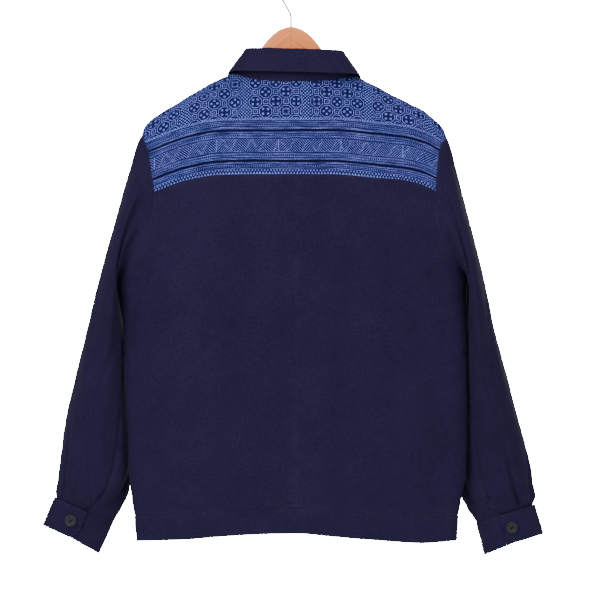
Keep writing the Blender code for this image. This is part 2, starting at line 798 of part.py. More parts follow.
def ring_value(side, name):
    rows = SLEEVES[side]
    return monotone(range(len(rows)), [getattr(r, name) for r in rows])


SLEEVE_CURVES = {side: {n: ring_value(side, n) for n in Ring._fields} for side in SLEEVES}


def ellipse(side, row, turn):
    """Plain elliptical sleeve section: turn runs from the underarm over the back."""
    curve = SLEEVE_CURVES[side]
    out = np.stack([side * curve["out_x"](row), curve["forward"](row), -curve["out_drop"](row)], -1)
    inn = np.stack([side * curve["in_x"](row), curve["forward"](row), -curve["in_drop"](row)], -1)
    angle = 2 * math.pi * np.asarray(turn)[..., None]
    deep = np.stack([0 * row, curve["depth"](row), 0 * row], -1)
    middle = (out + inn) / 2
    return middle + (inn - out) / 2 * np.cos(angle) - deep * np.sin(angle), middle


def seam_turn(row):
    """Where the sleeve's seam lies: under the arm at the top, at the back by the cuff."""
    last = len(SLEEVES[1]) - 1
    ease = np.clip(row / last, 0, 1)
    return 0.235 * ease**1.6


def sleeve_folds(row, turn):
    total = np.zeros(np.broadcast(row, turn).shape)
    for fold in SLEEVE_FOLDS:
        along = (row - fold.row_top) / (fold.row_end - fold.row_top)
        side = (turn - fold.turn_top - along * (fold.turn_end - fold.turn_top)) / fold.width
        ends = np.clip(4 * along * (1 - along), 0, 1)
        total = total + fold.depth * ends * np.exp(-(side**2))
    last = len(SLEEVES[1]) - 1
    for pleat in PLEATS:
        along = np.clip((row - pleat.row_top) / (last - pleat.row_top), 0, 1)
        side = (turn - pleat.turn) / pleat.width
        near_cuff = np.clip((last - row) / PLEAT_EASE, PLEAT_LEAST, 1)
        total = total + pleat.depth * along * near_cuff * np.exp(-(side**2))
    return total


def sleeve_surface(side, rows):
    """Outer points of a sleeve, one row for each ring and one column for each armhole sample."""
    arm = ARMHOLES[side]
    count = len(arm["point"])
    phase = np.linspace(0, 1, count)
    row, phase = np.meshgrid(np.array(rows, float), phase, indexing="ij")
    seam = seam_turn(row)
    turn = phase + seam
    points, middle = ellipse(side, row, turn)
    first, _ = ellipse(side, np.zeros(count), phase[0])
    start = arm["point"] + GAP * arm["away"]
    fade = np.clip(1 - row / ARMHOLE_FADE, 0, 1)[..., None] ** 2
    points = points + fade * (start - first)[None]
    inward = unit(middle - points)
    inward = inward * (1 - fade) + fade * unit(middle.mean(1, keepdims=True) - points)
    return points + unit(inward) * sleeve_folds(row, turn % 1)[..., None], middle


def make_sleeve(side, name, made):
    points, middle = sleeve_surface(side, SLEEVE_ROWS)
    down = np.gradient(points, axis=0)
    across = np.gradient(points, axis=1)
    out = unit(np.cross(across, down))
    out = out * np.where(((points - middle) * out).sum(-1).mean() < 0, -1, 1)
    arm = ARMHOLES[side]
    inward = -out[0]
    cut = np.minimum((inward * arm["away"]).sum(-1, keepdims=True), 0)
    inner = points - out * WALL
    inner[0] = points[0] + unit(inward - cut * arm["away"]) * WALL
    sideways = unit(across)
    for sheet in (points, inner):
        sheet[:, 0] += sideways[:, 0] * GAP / 2
        sheet[:, -1] -= sideways[:, -1] * GAP / 2
    return grid_wall(name, points, inner, made)


CuffFrame = namedtuple("CuffFrame", "middle out_way down_way half_width")


def cuff_frame(side):
    ring = SLEEVES[side][-1]
    out = Vector((side * ring.out_x, ring.forward, -ring.out_drop))
    inn = Vector((side * ring.in_x, ring.forward, -ring.in_drop))
    way = (out - inn).normalized()
    down = Vector((0, side, 0)).cross(way)
    return CuffFrame((out + inn) / 2, way, down, (out - inn).length / 2)


# Turns round the cuff: its hidden end, the tab's end and the button, and where the tab climbs.
Strap = namedtuple("Strap", "start end button")
STRAPS = {-1: Strap(0.125, 1.269, 1.21), 1: Strap(0.125, 1.279, 1.237)}
TAB_CLIMB = (0.78, 1.06)
TAB_LIFT = DOUBLE + 2 * GAP


def cuff_point(side, turn, down, lift=0.0):
    """Outer face of the cuff strip: turn 0 is the outer side and 0.25 the back."""
    frame = cuff_frame(side)
    ease = np.clip((turn - TAB_CLIMB[0]) / (TAB_CLIMB[1] - TAB_CLIMB[0]), 0, 1)
    grow = CUFF_CLEAR + TAB_LIFT * ease * ease * (3 - 2 * ease) + lift
    angle = 2 * math.pi * np.asarray(turn)
    wide = (frame.half_width + grow) * np.cos(angle)
    deep = -(CUFF_HALF_DEPTH + grow) * np.sin(angle)
    middle = np.array(frame.middle) + np.array(frame.down_way) * np.asarray(down)[..., None]
    out_way = np.array(frame.out_way)
    return middle + wide[..., None] * out_way + deep[..., None] * np.array([0, 1, 0])


def make_cuff(side, name, made):
    strap = STRAPS[side]
    turns = np.linspace(strap.start, strap.end, 33)
    from_end = (strap.end - turns) * 2 * math.pi * cuff_frame(side).half_width
    clip = np.clip(1 - from_end / TAB_CLIP, 0, 1) * TAB_CLIP_RISE
    share = np.linspace(0, 1, 3)[:, None]
    top = 2 * GAP
    down = top + (CUFF_HEIGHT - top - clip) * share
    turn = np.broadcast_to(turns, down.shape)
    outer = cuff_point(side, turn, down)
    inner = cuff_point(side, turn, down, -DOUBLE)
    return grid_wall(name, outer, inner, made)


# Collar


def collar_value(name):
    rows = COLLAR
    places = [-r.place for r in rows[:0:-1]] + [r.place for r in rows]
    flip = -1 if name.endswith("_x") else 1
    values = [flip * getattr(r, name) for r in rows[:0:-1]] + [getattr(r, name) for r in rows]
    return monotone(places, values)


def collar_line(kind, place):
    x = CENTRE + collar_value(kind + "_x")(place)
    drop = collar_value(kind + "_drop")(place) + COLLAR_TILT * (x - CENTRE)
    return np.stack([x, collar_value(kind + "_y")(place), -drop], -1)


def outward_of(line):
    along = np.gradient(line, axis=0) * [1, 1, 0]
    out = unit(np.cross(along, [0, 0, 1]))
    return out * np.where((out * (line - line.mean(0))).sum() < 0, -1, 1)


def make_stand(made):
    place = neck_places(-1, 1)
    x, over = neck_edge(place)
    base, base_out = yoke_map(x, over)
    along = unit(np.gradient(base, axis=0))
    away = unit(np.cross(along, base_out))
    centre = np.array([CENTRE, 0, 0])
    away = away * np.where((away * (centre - base) * [1, 1, 0]).sum(1) < 0, -1, 1)[:, None]
    flip = (np.abs(place) < 0.3) & (away[:, 2] < 0)
    away[flip] *= -1
    front = (np.abs(place) > 0.7) & (away[:, 2] < 0)
    away[front] *= -1
    base = base + away * GAP
    top = collar_line("top", place)
    share = np.linspace(0, 1, 4)[:, None, None]
    outer = base * (1 - share) + top * share
    out = outward_of(top)[None] * np.ones((4, 1, 1))
    inward = -outward_of(base)
    cut = np.minimum((inward * away).sum(-1, keepdims=True), 0)
    inner = outer - out * DOUBLE
    inner[0] = base + unit(inward - cut * away) * DOUBLE
    return grid_wall("collar_stand", outer, inner, made)


def make_fall(made):
    place = neck_places(-1, 1)
    top = collar_line("top", place)
    edge = collar_line("edge", place)
    out = outward_of(top)
    up = np.array([0, 0, 1.0])
    middle = top + out * (FALL_ROUND - DOUBLE) + up * GAP
    outer, inner = [], []
    for angle in np.radians((180, 135, 90, 50, 20)):
        ray = math.cos(angle) * out + math.sin(angle) * up
        outer.append(middle + FALL_ROUND * ray)
        inner.append(middle + (FALL_ROUND - DOUBLE) * ray)
    start, last = outer[-1], inner[-1]
    face = unit(np.cross(np.gradient(edge, axis=0), edge - start))
    face = face * np.where((face * out).sum(1) < 0, -1, 1)[:, None]
    for share in (0.45, 1.0):
        bulge = FALL_BULGE * math.sin(math.pi * share)
        outer.append(start + (edge - start) * share + face * bulge)
        inner.append(last + (edge - face * DOUBLE - last) * share + face * bulge)
    return grid_wall("collar_fall", np.array(outer), np.array(inner), made)


# Buttons, hanger and hook


def lathe(name, profile, segments, made, sharp=40):
    """A turned solid from radius and height pairs that start and end on the axis."""
    build = bmesh.new()
    loops = []
    for radius, height in profile:
        if radius == 0:
            loops.append([build.verts.new((0, 0, height * MM))])
            continue
        turns = [2 * math.pi * i / segments for i in range(segments)]
        ring = [(radius * math.cos(a), radius * math.sin(a), height) for a in turns]
        loops.append([build.verts.new(Vector(p) * MM) for p in ring])
    for low, high in zip(loops, loops[1:]):
        for i in range(segments):
            j = (i + 1) % segments
            if len(low) == 1:
                build.faces.new((low[0], high[i], high[j]))
            elif len(high) == 1:
                build.faces.new((low[i], low[j], high[0]))
            else:
                build.faces.new((low[i], low[j], high[j], high[i]))
    return finish(build, name, made, sharp)


def make_button(name, centre, out, turn, made):
    rim, dish = BUTTON_THICK, BUTTON_THICK - 1.0
    profile = (
        (0, 0),
        (BUTTON_RADIUS - 1.2, 0),
        (BUTTON_RADIUS, 1.4),
        (BUTTON_RADIUS - 1.2, rim),
        (BUTTON_RADIUS - 3.4, dish),
        (0, dish),
    )
    button = lathe(name, profile, BUTTON_SIDES, made)
    for way in (-1, 1):
        bpy.ops.mesh.primitive_cylinder_add(
            vertices=6,
            radius=BUTTON_HOLE_RADIUS * MM,
            depth=4 * BUTTON_THICK * MM,
            location=(way * BUTTON_HOLE_APART / 2 * MM, 0, 0),
        )
        cutter = bpy.context.object
        cutter.name = f"{name}_hole_{way}"
        cutter.hide_render = True
        cutter.display_type = "WIRE"
        cutter.parent = button
        cut = button.modifiers.new("hole", "BOOLEAN")
        cut.operation = "DIFFERENCE"
        cut.object = cutter
    facing = Vector(out).to_track_quat("Z", "Y").to_matrix()
    button.rotation_euler = (facing @ Matrix.Rotation(turn, 3, "Z")).to_euler()
    button.location = Vector(centre) * MM
    return button


def head_top(x):
    inside = np.maximum(HEAD_RADIUS**2 - np.square(x), 0)
    return np.where(np.abs(x) < HEAD_RADIUS, HEAD_TOP + HEAD_RADIUS - np.sqrt(inside), 1e9)


def make_hanger(made):
    """Round-edged sections of the hanger, one for each station along it."""
    head = HEAD_RADIUS * np.sin(np.linspace(0, math.pi / 2, 8))
    arm = np.linspace(HEAD_RADIUS + 3, HANGER_REACH - HANGER_TIP, 11)
    tip = HANGER_REACH - HANGER_TIP * (1 - np.sin(np.array([0.25, 0.5, 0.75, 0.93]) * math.pi / 2))
    half = np.concatenate([head, arm, tip])
    stations = np.concatenate([-half[:0:-1], half])
    size = np.abs(stations)
    dip = HANGER_DIP * np.clip((HANGER_DIP_HALF - size) / HANGER_DIP_FADE + 1, 0, 1)
    top = ridge_drop(stations) + WALL + GAP + HANGER_EASE + dip
    top = np.minimum(top, head_top(stations))
    base = ridge_drop(stations) + HANGER_BAR - HANGER_TAPER * size / HANGER_REACH
    arch = ARCH_DROP + ARCH_CURVE * stations**2
    low = np.where(size < ARCH_HALF, np.maximum(base, arch), base)
    thick = np.full(len(stations), HANGER_HALF_THICK)
    beyond = np.clip((size - (HANGER_REACH - HANGER_TIP)) / HANGER_TIP, 0, 1)
    round_off = np.sqrt(1 - beyond**2)
    middle = (top + low) / 2
    top = middle + (top - middle) * round_off
    low = middle + (low - middle) * round_off
    thick = thick * (0.35 + 0.65 * round_off)
    corners = np.radians((90, 60, 30, 0, -30, -60, -90, -120, -150, 180, 150, 120))
    build = bmesh.new()
    loops = []
    for x, high, bottom, half_thick in zip(stations, top, low, thick):
        tall = (bottom - high) / 2
        edge = min(half_thick, tall)
        loop = []
        for a in corners:
            y = math.copysign(half_thick - edge + edge * abs(math.cos(a)), math.cos(a))
            if abs(math.cos(a)) < 1e-6:
                y = 0.0
            z = math.copysign(tall - edge + edge * abs(math.sin(a)), math.sin(a))
            loop.append(build.verts.new(Vector((x, y, -(high + bottom) / 2 + z)) * MM))
        loops.append(loop)
    for first, second in zip(loops, loops[1:]):
        for i in range(len(corners)):
            j = (i + 1) % len(corners)
            build.faces.new((first[i], first[j], second[j], second[i]))
    build.faces.new(loops[0])
    build.faces.new(loops[-1][::-1])
    hanger = finish(build, "hanger", made, 50)
    bpy.ops.mesh.primitive_cylinder_add(
        vertices=12,
        radius=(WIRE_RADIUS + GAP) * MM,
        depth=2 * STEM_DEPTH * MM,
        location=(0, 0, -HEAD_TOP * MM),
    )
    bore = bpy.context.object
    bore.name = "hook_bore"
    bore.hide_render = True
    bore.display_type = "WIRE"
    cut = hanger.modifiers.new("hook bore", "BOOLEAN")
    cut.operation = "DIFFERENCE"
    cut.object = bore
    return hanger


def make_hook(made):
    """Bent wire: a straight stem, a slanting run and an arc over the top."""
    radius = HOOK_INNER_RADIUS + WIRE_RADIUS
    middle = Vector((0, 0, -HOOK_INNER_RADIUS))
    reach = STEM_KINK_DROP - HOOK_INNER_RADIUS
    start = -math.pi / 2 - math.acos(radius / reach)
    end = -2.15 * math.pi
    points = [Vector((0, 0, -HEAD_TOP - STEM_DEPTH + 2)), Vector((0, 0, -HEAD_TOP + 4))]
    points += [Vector((0, 0, -STEM_KINK_DROP - 4)), Vector((-0.6, 0, -STEM_KINK_DROP + 1.2))]
    for a in np.linspace(start, end, 26):
        points.append(middle + radius * Vector((math.cos(a), 0, math.sin(a))))
    curve = bpy.data.curves.new("hanger_hook", "CURVE")
    curve.dimensions = "3D"
    curve.bevel_depth = WIRE_RADIUS * MM
    curve.bevel_resolution = 2
    curve.use_fill_caps = True
    spline = curve.splines.new("POLY")
    spline.points.add(len(points) - 1)
    for target, p in zip(spline.points, points):
        target.co = (*(p * MM), 1)
    curve.materials.append(made)
    hook = bpy.data.objects.new("hanger_hook", curve)
    bpy.context.scene.collection.objects.link(hook)
    return hook


def main():
    for obj in list(bpy.data.objects):
        bpy.data.objects.remove(obj, do_unlink=True)
    navy = material("navy_cotton", NAVY, 0.9)
    batik = material("batik_cotton", BATIK, 0.85)
    wood = material("hanger_wood", WOOD, 0.45)
    steel = material("hook_wire", STEEL, 0.35, 1.0)
    brown = material("button", BUTTON_BROWN, 0.5)

    make_yoke(batik)
    make_back(-1, "back_left", navy)
    make_back(1, "back_right", navy)
    make_front(-1, "front_left", navy)
    make_front(1, "front_right", navy)
    make_placket(navy)
    make_hem(navy)
    for side, word in ((-1, "left"), (1, "right")):
        make_sleeve(side, f"sleeve_{word}", navy)
        make_cuff(side, f"cuff_{word}", navy)
    make_stand(navy)
    make_fall(navy)
    make_hanger(wood)
    make_hook(steel)

    middle = CENTRE_BACK
    for number, drop in enumerate(FRONT_BUTTON_DROPS, 1):
        girth = np.array([centre_girth(middle, 1, -1)])
        point, out = panel_map(girth, np.array([float(drop)]))
        seat = point[0] + out[0] * (GAP + BEND_CLEAR)
        make_button(f"front_button_{number}", seat, out[0], math.pi / 2, brown)
    for side, word in ((-1, "left"), (1, "right")):
        turn = STRAPS[side].button
        seat = cuff_point(side, np.array([turn]), np.array([CUFF_HEIGHT / 2]), GAP + BEND_CLEAR)[0]
        frame = cuff_frame(side)
        angle = 2 * math.pi * turn
        wide = math.cos(angle) / frame.half_width
        deep = -math.sin(angle) / CUFF_HALF_DEPTH
        out = Vector(frame.out_way) * wide + Vector((0, deep, 0))
        make_button(f"cuff_button_{word}", seat, out.normalized(), BUTTON_TWIST, brown)


main()
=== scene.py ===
# %% [markdown]
# # A batik-yoke jacket on a wooden hanger
# The jacket is cut from navy cotton, with a yoke of wax-resist cloth over the shoulders, and it
# hangs with its back to us. The packed solids give each piece its place and size. This script
# makes the same pieces again as thin soft cloth, with creases, stitches, weave and dye.

# %%
import json
import math
from collections import namedtuple

import bmesh
import bpy
import numpy as np
from mathutils import Matrix, Vector
from mathutils.geometry import delaunay_2d_cdt

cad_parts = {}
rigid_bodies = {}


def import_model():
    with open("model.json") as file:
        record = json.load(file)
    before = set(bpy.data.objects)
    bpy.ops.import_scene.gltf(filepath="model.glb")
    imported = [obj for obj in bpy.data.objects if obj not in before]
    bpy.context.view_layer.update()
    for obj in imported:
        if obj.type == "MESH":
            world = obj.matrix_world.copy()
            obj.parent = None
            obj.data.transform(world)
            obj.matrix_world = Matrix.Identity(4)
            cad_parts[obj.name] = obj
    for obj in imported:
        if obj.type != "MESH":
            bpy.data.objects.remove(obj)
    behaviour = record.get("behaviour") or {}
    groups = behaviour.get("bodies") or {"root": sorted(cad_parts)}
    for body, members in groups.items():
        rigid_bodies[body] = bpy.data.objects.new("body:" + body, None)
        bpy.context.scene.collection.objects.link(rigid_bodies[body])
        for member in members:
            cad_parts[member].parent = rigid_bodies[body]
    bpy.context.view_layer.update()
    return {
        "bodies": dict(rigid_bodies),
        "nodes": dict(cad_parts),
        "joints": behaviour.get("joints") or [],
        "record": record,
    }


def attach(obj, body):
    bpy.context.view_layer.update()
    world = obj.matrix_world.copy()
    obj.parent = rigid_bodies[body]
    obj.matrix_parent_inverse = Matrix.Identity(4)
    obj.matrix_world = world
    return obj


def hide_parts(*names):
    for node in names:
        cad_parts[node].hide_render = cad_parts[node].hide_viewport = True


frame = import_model()

# %% [markdown]
# ## Sizes
# A maker works from a pattern: a few measured lines that every piece shares. These are the same
# lines as the solid part has, in millimetres, and `drop` is the distance below the hook. One
# shared set of lines keeps neighbouring pieces meeting at their seams, which separate shapes
# drawn by eye wouldn't do.

# %%
MM = 0.001
LAYER = 1.1  # one layer of the cotton, as it is drawn
DOUBLE = 2.2  # collar, cuffs, waistband and placket
GAP = 0.3
CLOTH_STEP = 4.2  # spacing of the points in a panel
YOKE_STEP = 3.4

SIDE_POWER = 2.2
SIDE_CROWD = 0.35
GIRTH_QUARTER = 275.0
RIDGE_DROP = 120.0

CENTRE = 5.0
CENTRE_BACK = 6.5
NECK_HALF = 88.0
NECK_BACK_DROP = 163.5
NECK_FRONT_FALL = 85.0
YOKE_WRAP = 30.0
PLACKET_HALF = 16.0
PLACKET_CLEAR = 1.4
PLACKET_BELOW_NECK = 2.0
DIP_FULL, DIP_REACH = 44.0, 84.0
HEM_BAND = 38.0
CUFF_HEIGHT = 46.5
CUFF_HALF_DEPTH = 29.0
CUFF_CLEAR = 0.6
TAB_CLIP = 11.0
TAB_CLIP_RISE = 9.4
ARMHOLE_FADE = 5.0
CHEST_DROP = 457.0
FALL_ROUND = 4.2
FALL_BULGE = 0.3
COLLAR_TILT = 0.025

print("shared sizes: neck", 2 * NECK_HALF, "mm, cuff", CUFF_HEIGHT, "mm, waistband", HEM_BAND, "mm")

# %% [markdown]
# ## The body's measured lines
# The shoulder ridge, the side edges, the armhole, the yoke seam and the hem are each a short list
# of places. A smooth curve goes through them later, as a maker draws a pattern line through a few
# marks with a bent rule.

# %%
Ridge = namedtuple("Ridge", "x drop")
RIDGE = [
    Ridge(-228.5, 251),
    Ridge(-225.6, 243.9),
    Ridge(-221, 232),
    Ridge(-210, 220.5),
    Ridge(-189, 205.5),
    Ridge(-165, 190.5),
    Ridge(-138, 175.5),
    Ridge(-109, 160.5),
    Ridge(-84, 148),
    Ridge(-42, 125),
    Ridge(0, 104),
    Ridge(44, 125),
    Ridge(90, 150),
    Ridge(108, 160.5),
    Ridge(136.5, 175.5),
    Ridge(169, 190.5),
    Ridge(197, 205.5),
    Ridge(215, 220.5),
    Ridge(227.5, 234),
    Ridge(233.4, 246),
    Ridge(236.5, 253),
]

Level = namedtuple("Level", "drop left right back front")
LEVELS = [
    Level(100, -252, 261, 48, 46),
    Level(250, -252, 261, 48, 46),
    Level(345, -255, 261, 49, 47),
    Level(420, -262, 262, 50, 48),
    Level(457, -262.5, 262.5, 50, 48),
    Level(485, -256.5, 261, 50, 48),
    Level(530, -250.7, 263.5, 49, 47),
    Level(581, -249.9, 264, 48, 46),
    Level(641, -247.5, 263, 46, 44),
    Level(686, -244.5, 261, 44, 42),
    Level(746, -243, 259, 42, 40),
    Level(779, -240, 252.5, 41, 39),
    Level(815, -235.5, 247.5, 40, 38),
    Level(860, -231, 245.5, 39, 37),
]

Edge = namedtuple("Edge", "drop reach")
ARMHOLE = {
    -1: [
        Edge(243.9, 225.6),
        Edge(265.5, 214.5),
        Edge(292.5, 210.5),
        Edge(328.5, 205.5),
        Edge(355.5, 208.5),
        Edge(385.5, 215.5),
        Edge(408, 223.5),
        Edge(430.5, 235.5),
        Edge(447, 249),
        Edge(456, 262.5),
    ],
    1: [
        Edge(246, 233.4),
        Edge(264, 223),
        Edge(300, 218.5),
        Edge(327, 216.5),
        Edge(352, 215),
        Edge(380, 217.5),
        Edge(404, 224),
        Edge(426, 236),
        Edge(446, 250.5),
        Edge(457, 262.5),
    ],
}

Seam = namedtuple("Seam", "x drop")
YOKE_SEAM = [
    Seam(-206, 328.5),
    Seam(-184, 320),
    Seam(-157, 311),
    Seam(-106, 303),
    Seam(-46, 302),
    Seam(57, 302),
    Seam(123, 307),
    Seam(170, 311),
    Seam(196, 317.5),
    Seam(217, 327),
]
HEM_EDGE = [
    Seam(-262, 853),
    Seam(-231, 852),
    Seam(-167, 850),
    Seam(-106, 845),
    Seam(-30, 841),
    Seam(15, 840.5),
    Seam(57, 844.5),
    Seam(129, 850.5),
    Seam(200, 855),
    Seam(262, 850),
]

print("ridge:", len(RIDGE), "places; side levels:", len(LEVELS), "; armholes:", len(ARMHOLE))

# %% [markdown]
# ## Folds and sleeve sections
# Broad folds run down the body where the cloth has spare width. A sleeve is a list of sections
# from the shoulder to the cuff, each with its outer edge, inner edge and depth, because a hanging
# sleeve is flat and turns a little forward.

# %%
Fold = namedtuple("Fold", "face x_top drop_top x_end drop_end width depth")
FOLDS = [
    Fold(-1, -70, 360, -84, 730, 26, 5),
    Fold(-1, 98, 350, 112, 680, 30, 5),
    Fold(-1, -172, 440, -184, 640, 22, 5),
    Fold(-1, 190, 430, 200, 650, 20, 4),
    Fold(-1, -120, 400, -134, 800, 30, -4),
    Fold(-1, 60, 420, 66, 800, 28, -4),
    Fold(-1, 150, 380, 160, 760, 26, -4),
    Fold(1, -96, 300, -108, 700, 28, 5),
    Fold(1, 110, 310, 126, 730, 26, 5),
    Fold(1, -178, 420, -186, 700, 22, 4),
    Fold(1, 184, 430, 196, 720, 24, 4),
    Fold(1, 62, 420, 58, 780, 26, -4),
]

Ring = namedtuple("Ring", "out_x out_drop in_x in_drop depth forward")
SLEEVES = {
    -1: [
        Ring(225.6, 243.9, 262.5, 456, 31, 0),
        Ring(233, 262, 264.3, 452.5, 37, 1),
        Ring(241, 290, 266.5, 458, 45, 4),
        Ring(253, 330, 265, 470, 54, 9),
        Ring(267, 380, 260.5, 487, 61, 15),
        Ring(281, 432, 256, 508, 65, 21),
        Ring(295, 488, 251.5, 535, 66, 26),
        Ring(308, 542, 248.5, 570, 66, 30),
        Ring(322, 596, 246.5, 612, 63, 33),
        Ring(334.5, 648, 244, 658, 59, 35),
        Ring(343, 696, 241.5, 704, 54, 36),
        Ring(349, 738, 241, 744, 49, 36),
        Ring(352.5, 766, 243, 776, 44, 36),
        Ring(354.5, 779, 254, 803, 38, 36),
        Ring(352.6, 787.2, 267.3, 824.6, CUFF_HALF_DEPTH, 36),
    ],
    1: [
        Ring(233.4, 246, 262.5, 457, 31, 0),
        Ring(240, 264, 264.3, 453.5, 37, 1),
        Ring(247.5, 292, 267, 459, 45, 4),
        Ring(258, 332, 268, 471, 54, 9),
        Ring(271.5, 382, 267.5, 488, 61, 15),
        Ring(284, 433, 266, 509, 65, 21),
        Ring(296.5, 489, 264.5, 536, 66, 26),
        Ring(307.5, 542, 262.5, 571, 66, 30),
        Ring(322.5, 596, 261, 613, 63, 33),
        Ring(337, 648, 260, 659, 59, 35),
        Ring(349.5, 696, 257.5, 705, 54, 36),
        Ring(358.5, 738, 256, 745, 49, 36),
        Ring(362.5, 768, 256, 780, 44, 36),
        Ring(365.5, 786, 266, 803, 38, 36),
        Ring(364, 798, 278.4, 823.5, CUFF_HALF_DEPTH, 36),
    ],
}

SleeveFold = namedtuple("SleeveFold", "row_top turn_top row_end turn_end width depth")
SLEEVE_FOLDS = [
    SleeveFold(0.4, 0.27, 4.5, 0.19, 0.035, 6),
    SleeveFold(5.5, 0.33, 9.5, 0.24, 0.05, 4),
    SleeveFold(4.0, 0.72, 9.0, 0.80, 0.05, 4),
]
Pleat = namedtuple("Pleat", "turn row_top width depth")
PLEAT_EASE, PLEAT_LEAST = 0.8, 0.35  # a pleat flattens over its last rings to this share
PLEATS = [
    Pleat(0.345, 9.5, 0.022, 5),
    Pleat(0.43, 9.8, 0.022, 5),
    Pleat(0.60, 10.2, 0.022, 4),
]

print("body folds:", len(FOLDS), "; sleeve sections:", len(SLEEVES[1]), "; pleats:", len(PLEATS))

# %% [markdown]
# ## The collar's lines
# A collar is set by two lines: the top edge of the stand and the outer edge of the fall. Both run
# from the middle of the back (0) to the front (1), and the other side is the same.

# %%
CollarRow = namedtuple("CollarRow", "place top_x top_y top_drop edge_x edge_y edge_drop")
COLLAR = [
    CollarRow(0.00, 0, -36.5, 118.5, 0, -52, 149),
    CollarRow(0.15, 38, -35.5, 118.5, 45, -51, 149),
    CollarRow(0.25, 57, -32.5, 118.5, 68, -47, 149),
    CollarRow(0.35, 67.5, -25, 119, 86, -38, 149),
    CollarRow(0.45, 71, -9, 121.5, 96, -21, 150),
    CollarRow(0.50, 72, 3, 124.5, 99.5, -5, 151.5),
    CollarRow(0.55, 72, 14, 131.5, 101, 17, 158),
    CollarRow(0.60, 71, 24, 143, 99, 35, 175),
    CollarRow(0.65, 68, 31, 156, 95, 43, 196),
    CollarRow(0.70, 62.5, 36, 168.5, 88, 48, 216),
    CollarRow(0.80, 46, 40.5, 188, 74, 53, 240),
    CollarRow(0.90, 24, 43, 200.5, 61, 55, 255),
    CollarRow(1.00, 2.0, 43.5, 205, 50, 55, 262),
]
print("collar places:", len(COLLAR))

# %% [markdown]
# ## The hanging shape
# An empty jacket on a hanger falls from the shoulder ridge, swells a little below it and hangs as
# a flat rounded tube. A cloth simulation could find such a shape, but it wouldn't land on the
# outline of the solid part, so the shape is worked out from the sizes above.

# %%
def monotone(xs, ys):
    """A smooth curve through rising xs that never overshoots its points."""
    xs = np.asarray(xs, float)
    ys = np.asarray(ys, float)
    run = np.diff(xs)
    slope = np.diff(ys) / run
    bend = np.zeros(len(xs))
    same = slope[:-1] * slope[1:] > 0
    first = 2 * run[1:] + run[:-1]
    last = run[1:] + 2 * run[:-1]
    safe = np.where(same, slope[:-1] * slope[1:], 1)
    bend[1:-1] = np.where(
        same, (first + last) * safe / (first * slope[1:] + last * slope[:-1] + (~same)), 0
    )
    bend[0], bend[-1] = slope[0], slope[-1]

    def value(at):
        at = np.asarray(at, float)
        i = np.clip(np.searchsorted(xs, at) - 1, 0, len(xs) - 2)
        t = np.clip((at - xs[i]) / run[i], -1, 2)
        inside = np.clip(t, 0, 1)
        a = (1 + 2 * inside) * (1 - inside) ** 2
        b = inside * (1 - inside) ** 2
        c = inside**2 * (3 - 2 * inside)
        d = inside**2 * (inside - 1)
        on = a * ys[i] + b * run[i] * bend[i] + c * ys[i + 1] + d * run[i] * bend[i + 1]
        return on + (t - inside) * run[i] * np.where(t < 0, bend[i], bend[i + 1])

    return value


def column(rows, key, name):
    """One named column of a table as a smooth curve over another."""
    return monotone([getattr(r, key) for r in rows], [getattr(r, name) for r in rows])


ridge_drop = column(RIDGE, "x", "drop")
left_edge = column(LEVELS, "drop", "left")
right_edge = column(LEVELS, "drop", "right")
back_depth = column(LEVELS, "drop", "back")
front_depth = column(LEVELS, "drop", "front")
yoke_seam = column(YOKE_SEAM, "x", "drop")
hem_edge = column(HEM_EDGE, "x", "drop")


def hem_seam(x):
    return hem_edge(x) - HEM_BAND


def section_table(count=400):
    """Girth fraction, sideways and depthwise place along a quarter of the body's section."""
    angle = np.linspace(0, math.pi / 2, count)
    across = np.sin(angle) ** (2 / SIDE_POWER)
    deep = np.cos(angle) ** (2 / SIDE_POWER)
    ratio = LEVELS[4].back / LEVELS[4].right
    arc = np.concatenate([[0], np.cumsum(np.hypot(np.diff(across), ratio * np.diff(deep)))])
    girth = (1 - SIDE_CROWD) * arc / arc[-1] + SIDE_CROWD * angle / angle[-1]
    return girth, across, deep


GIRTH, ACROSS, DEEP = section_table()


def ridge_table(count=300):
    """Distance over the cloth, drop and depth fraction below the shoulder ridge."""
    angle = np.linspace(0, math.pi / 2, count)
    drop = RIDGE_DROP * (1 - np.cos(angle))
    out = np.sin(angle)
    step = np.hypot(np.diff(drop), LEVELS[0].back * np.diff(out))
    return np.concatenate([[0], np.cumsum(step)]), drop, out


OVER, OVER_DROP, OVER_OUT = ridge_table()


print("section samples:", len(GIRTH), "; shoulder samples:", len(OVER))

# %% [markdown]
# ## Places on the body
# Cloth over the shoulder is measured from the ridge, and cloth below it round the body. These two
# maps turn a place on the flat pattern into a place in space and the way the cloth faces there.

# %%
def swell(below):
    """Depth fraction at a drop below the ridge."""
    return np.interp(np.maximum(below, 0), OVER_DROP, OVER_OUT)


def drop_over(over):
    """Drop below the ridge at a distance measured over the cloth."""
    extra = np.maximum(np.abs(over) - OVER[-1], 0)
    return np.interp(np.abs(over), OVER, OVER_DROP) + extra


def over_drop(below):
    extra = np.maximum(below - OVER_DROP[-1], 0)
    return np.interp(below, OVER_DROP, OVER) + extra


def fold_depth(x, drop, face):
    total = np.zeros(np.broadcast(x, drop).shape)
    for fold in FOLDS:
        along = (drop - fold.drop_top) / (fold.drop_end - fold.drop_top)
        side = (x - fold.x_top - along * (fold.x_end - fold.x_top)) / fold.width
        ends = np.clip(4 * along * (1 - along), 0, 1)
        total = total + np.where(face == fold.face, fold.depth * ends * np.exp(-(side**2)), 0)
    return total


def body_depth(x, drop, face, deep):
    """Distance of the cloth in front of (face 1) or behind (face -1) the ridge plane."""
    most = np.where(face > 0, front_depth(drop), back_depth(drop))
    return deep * (most * swell(drop - ridge_drop(x)) - fold_depth(x, drop, face))


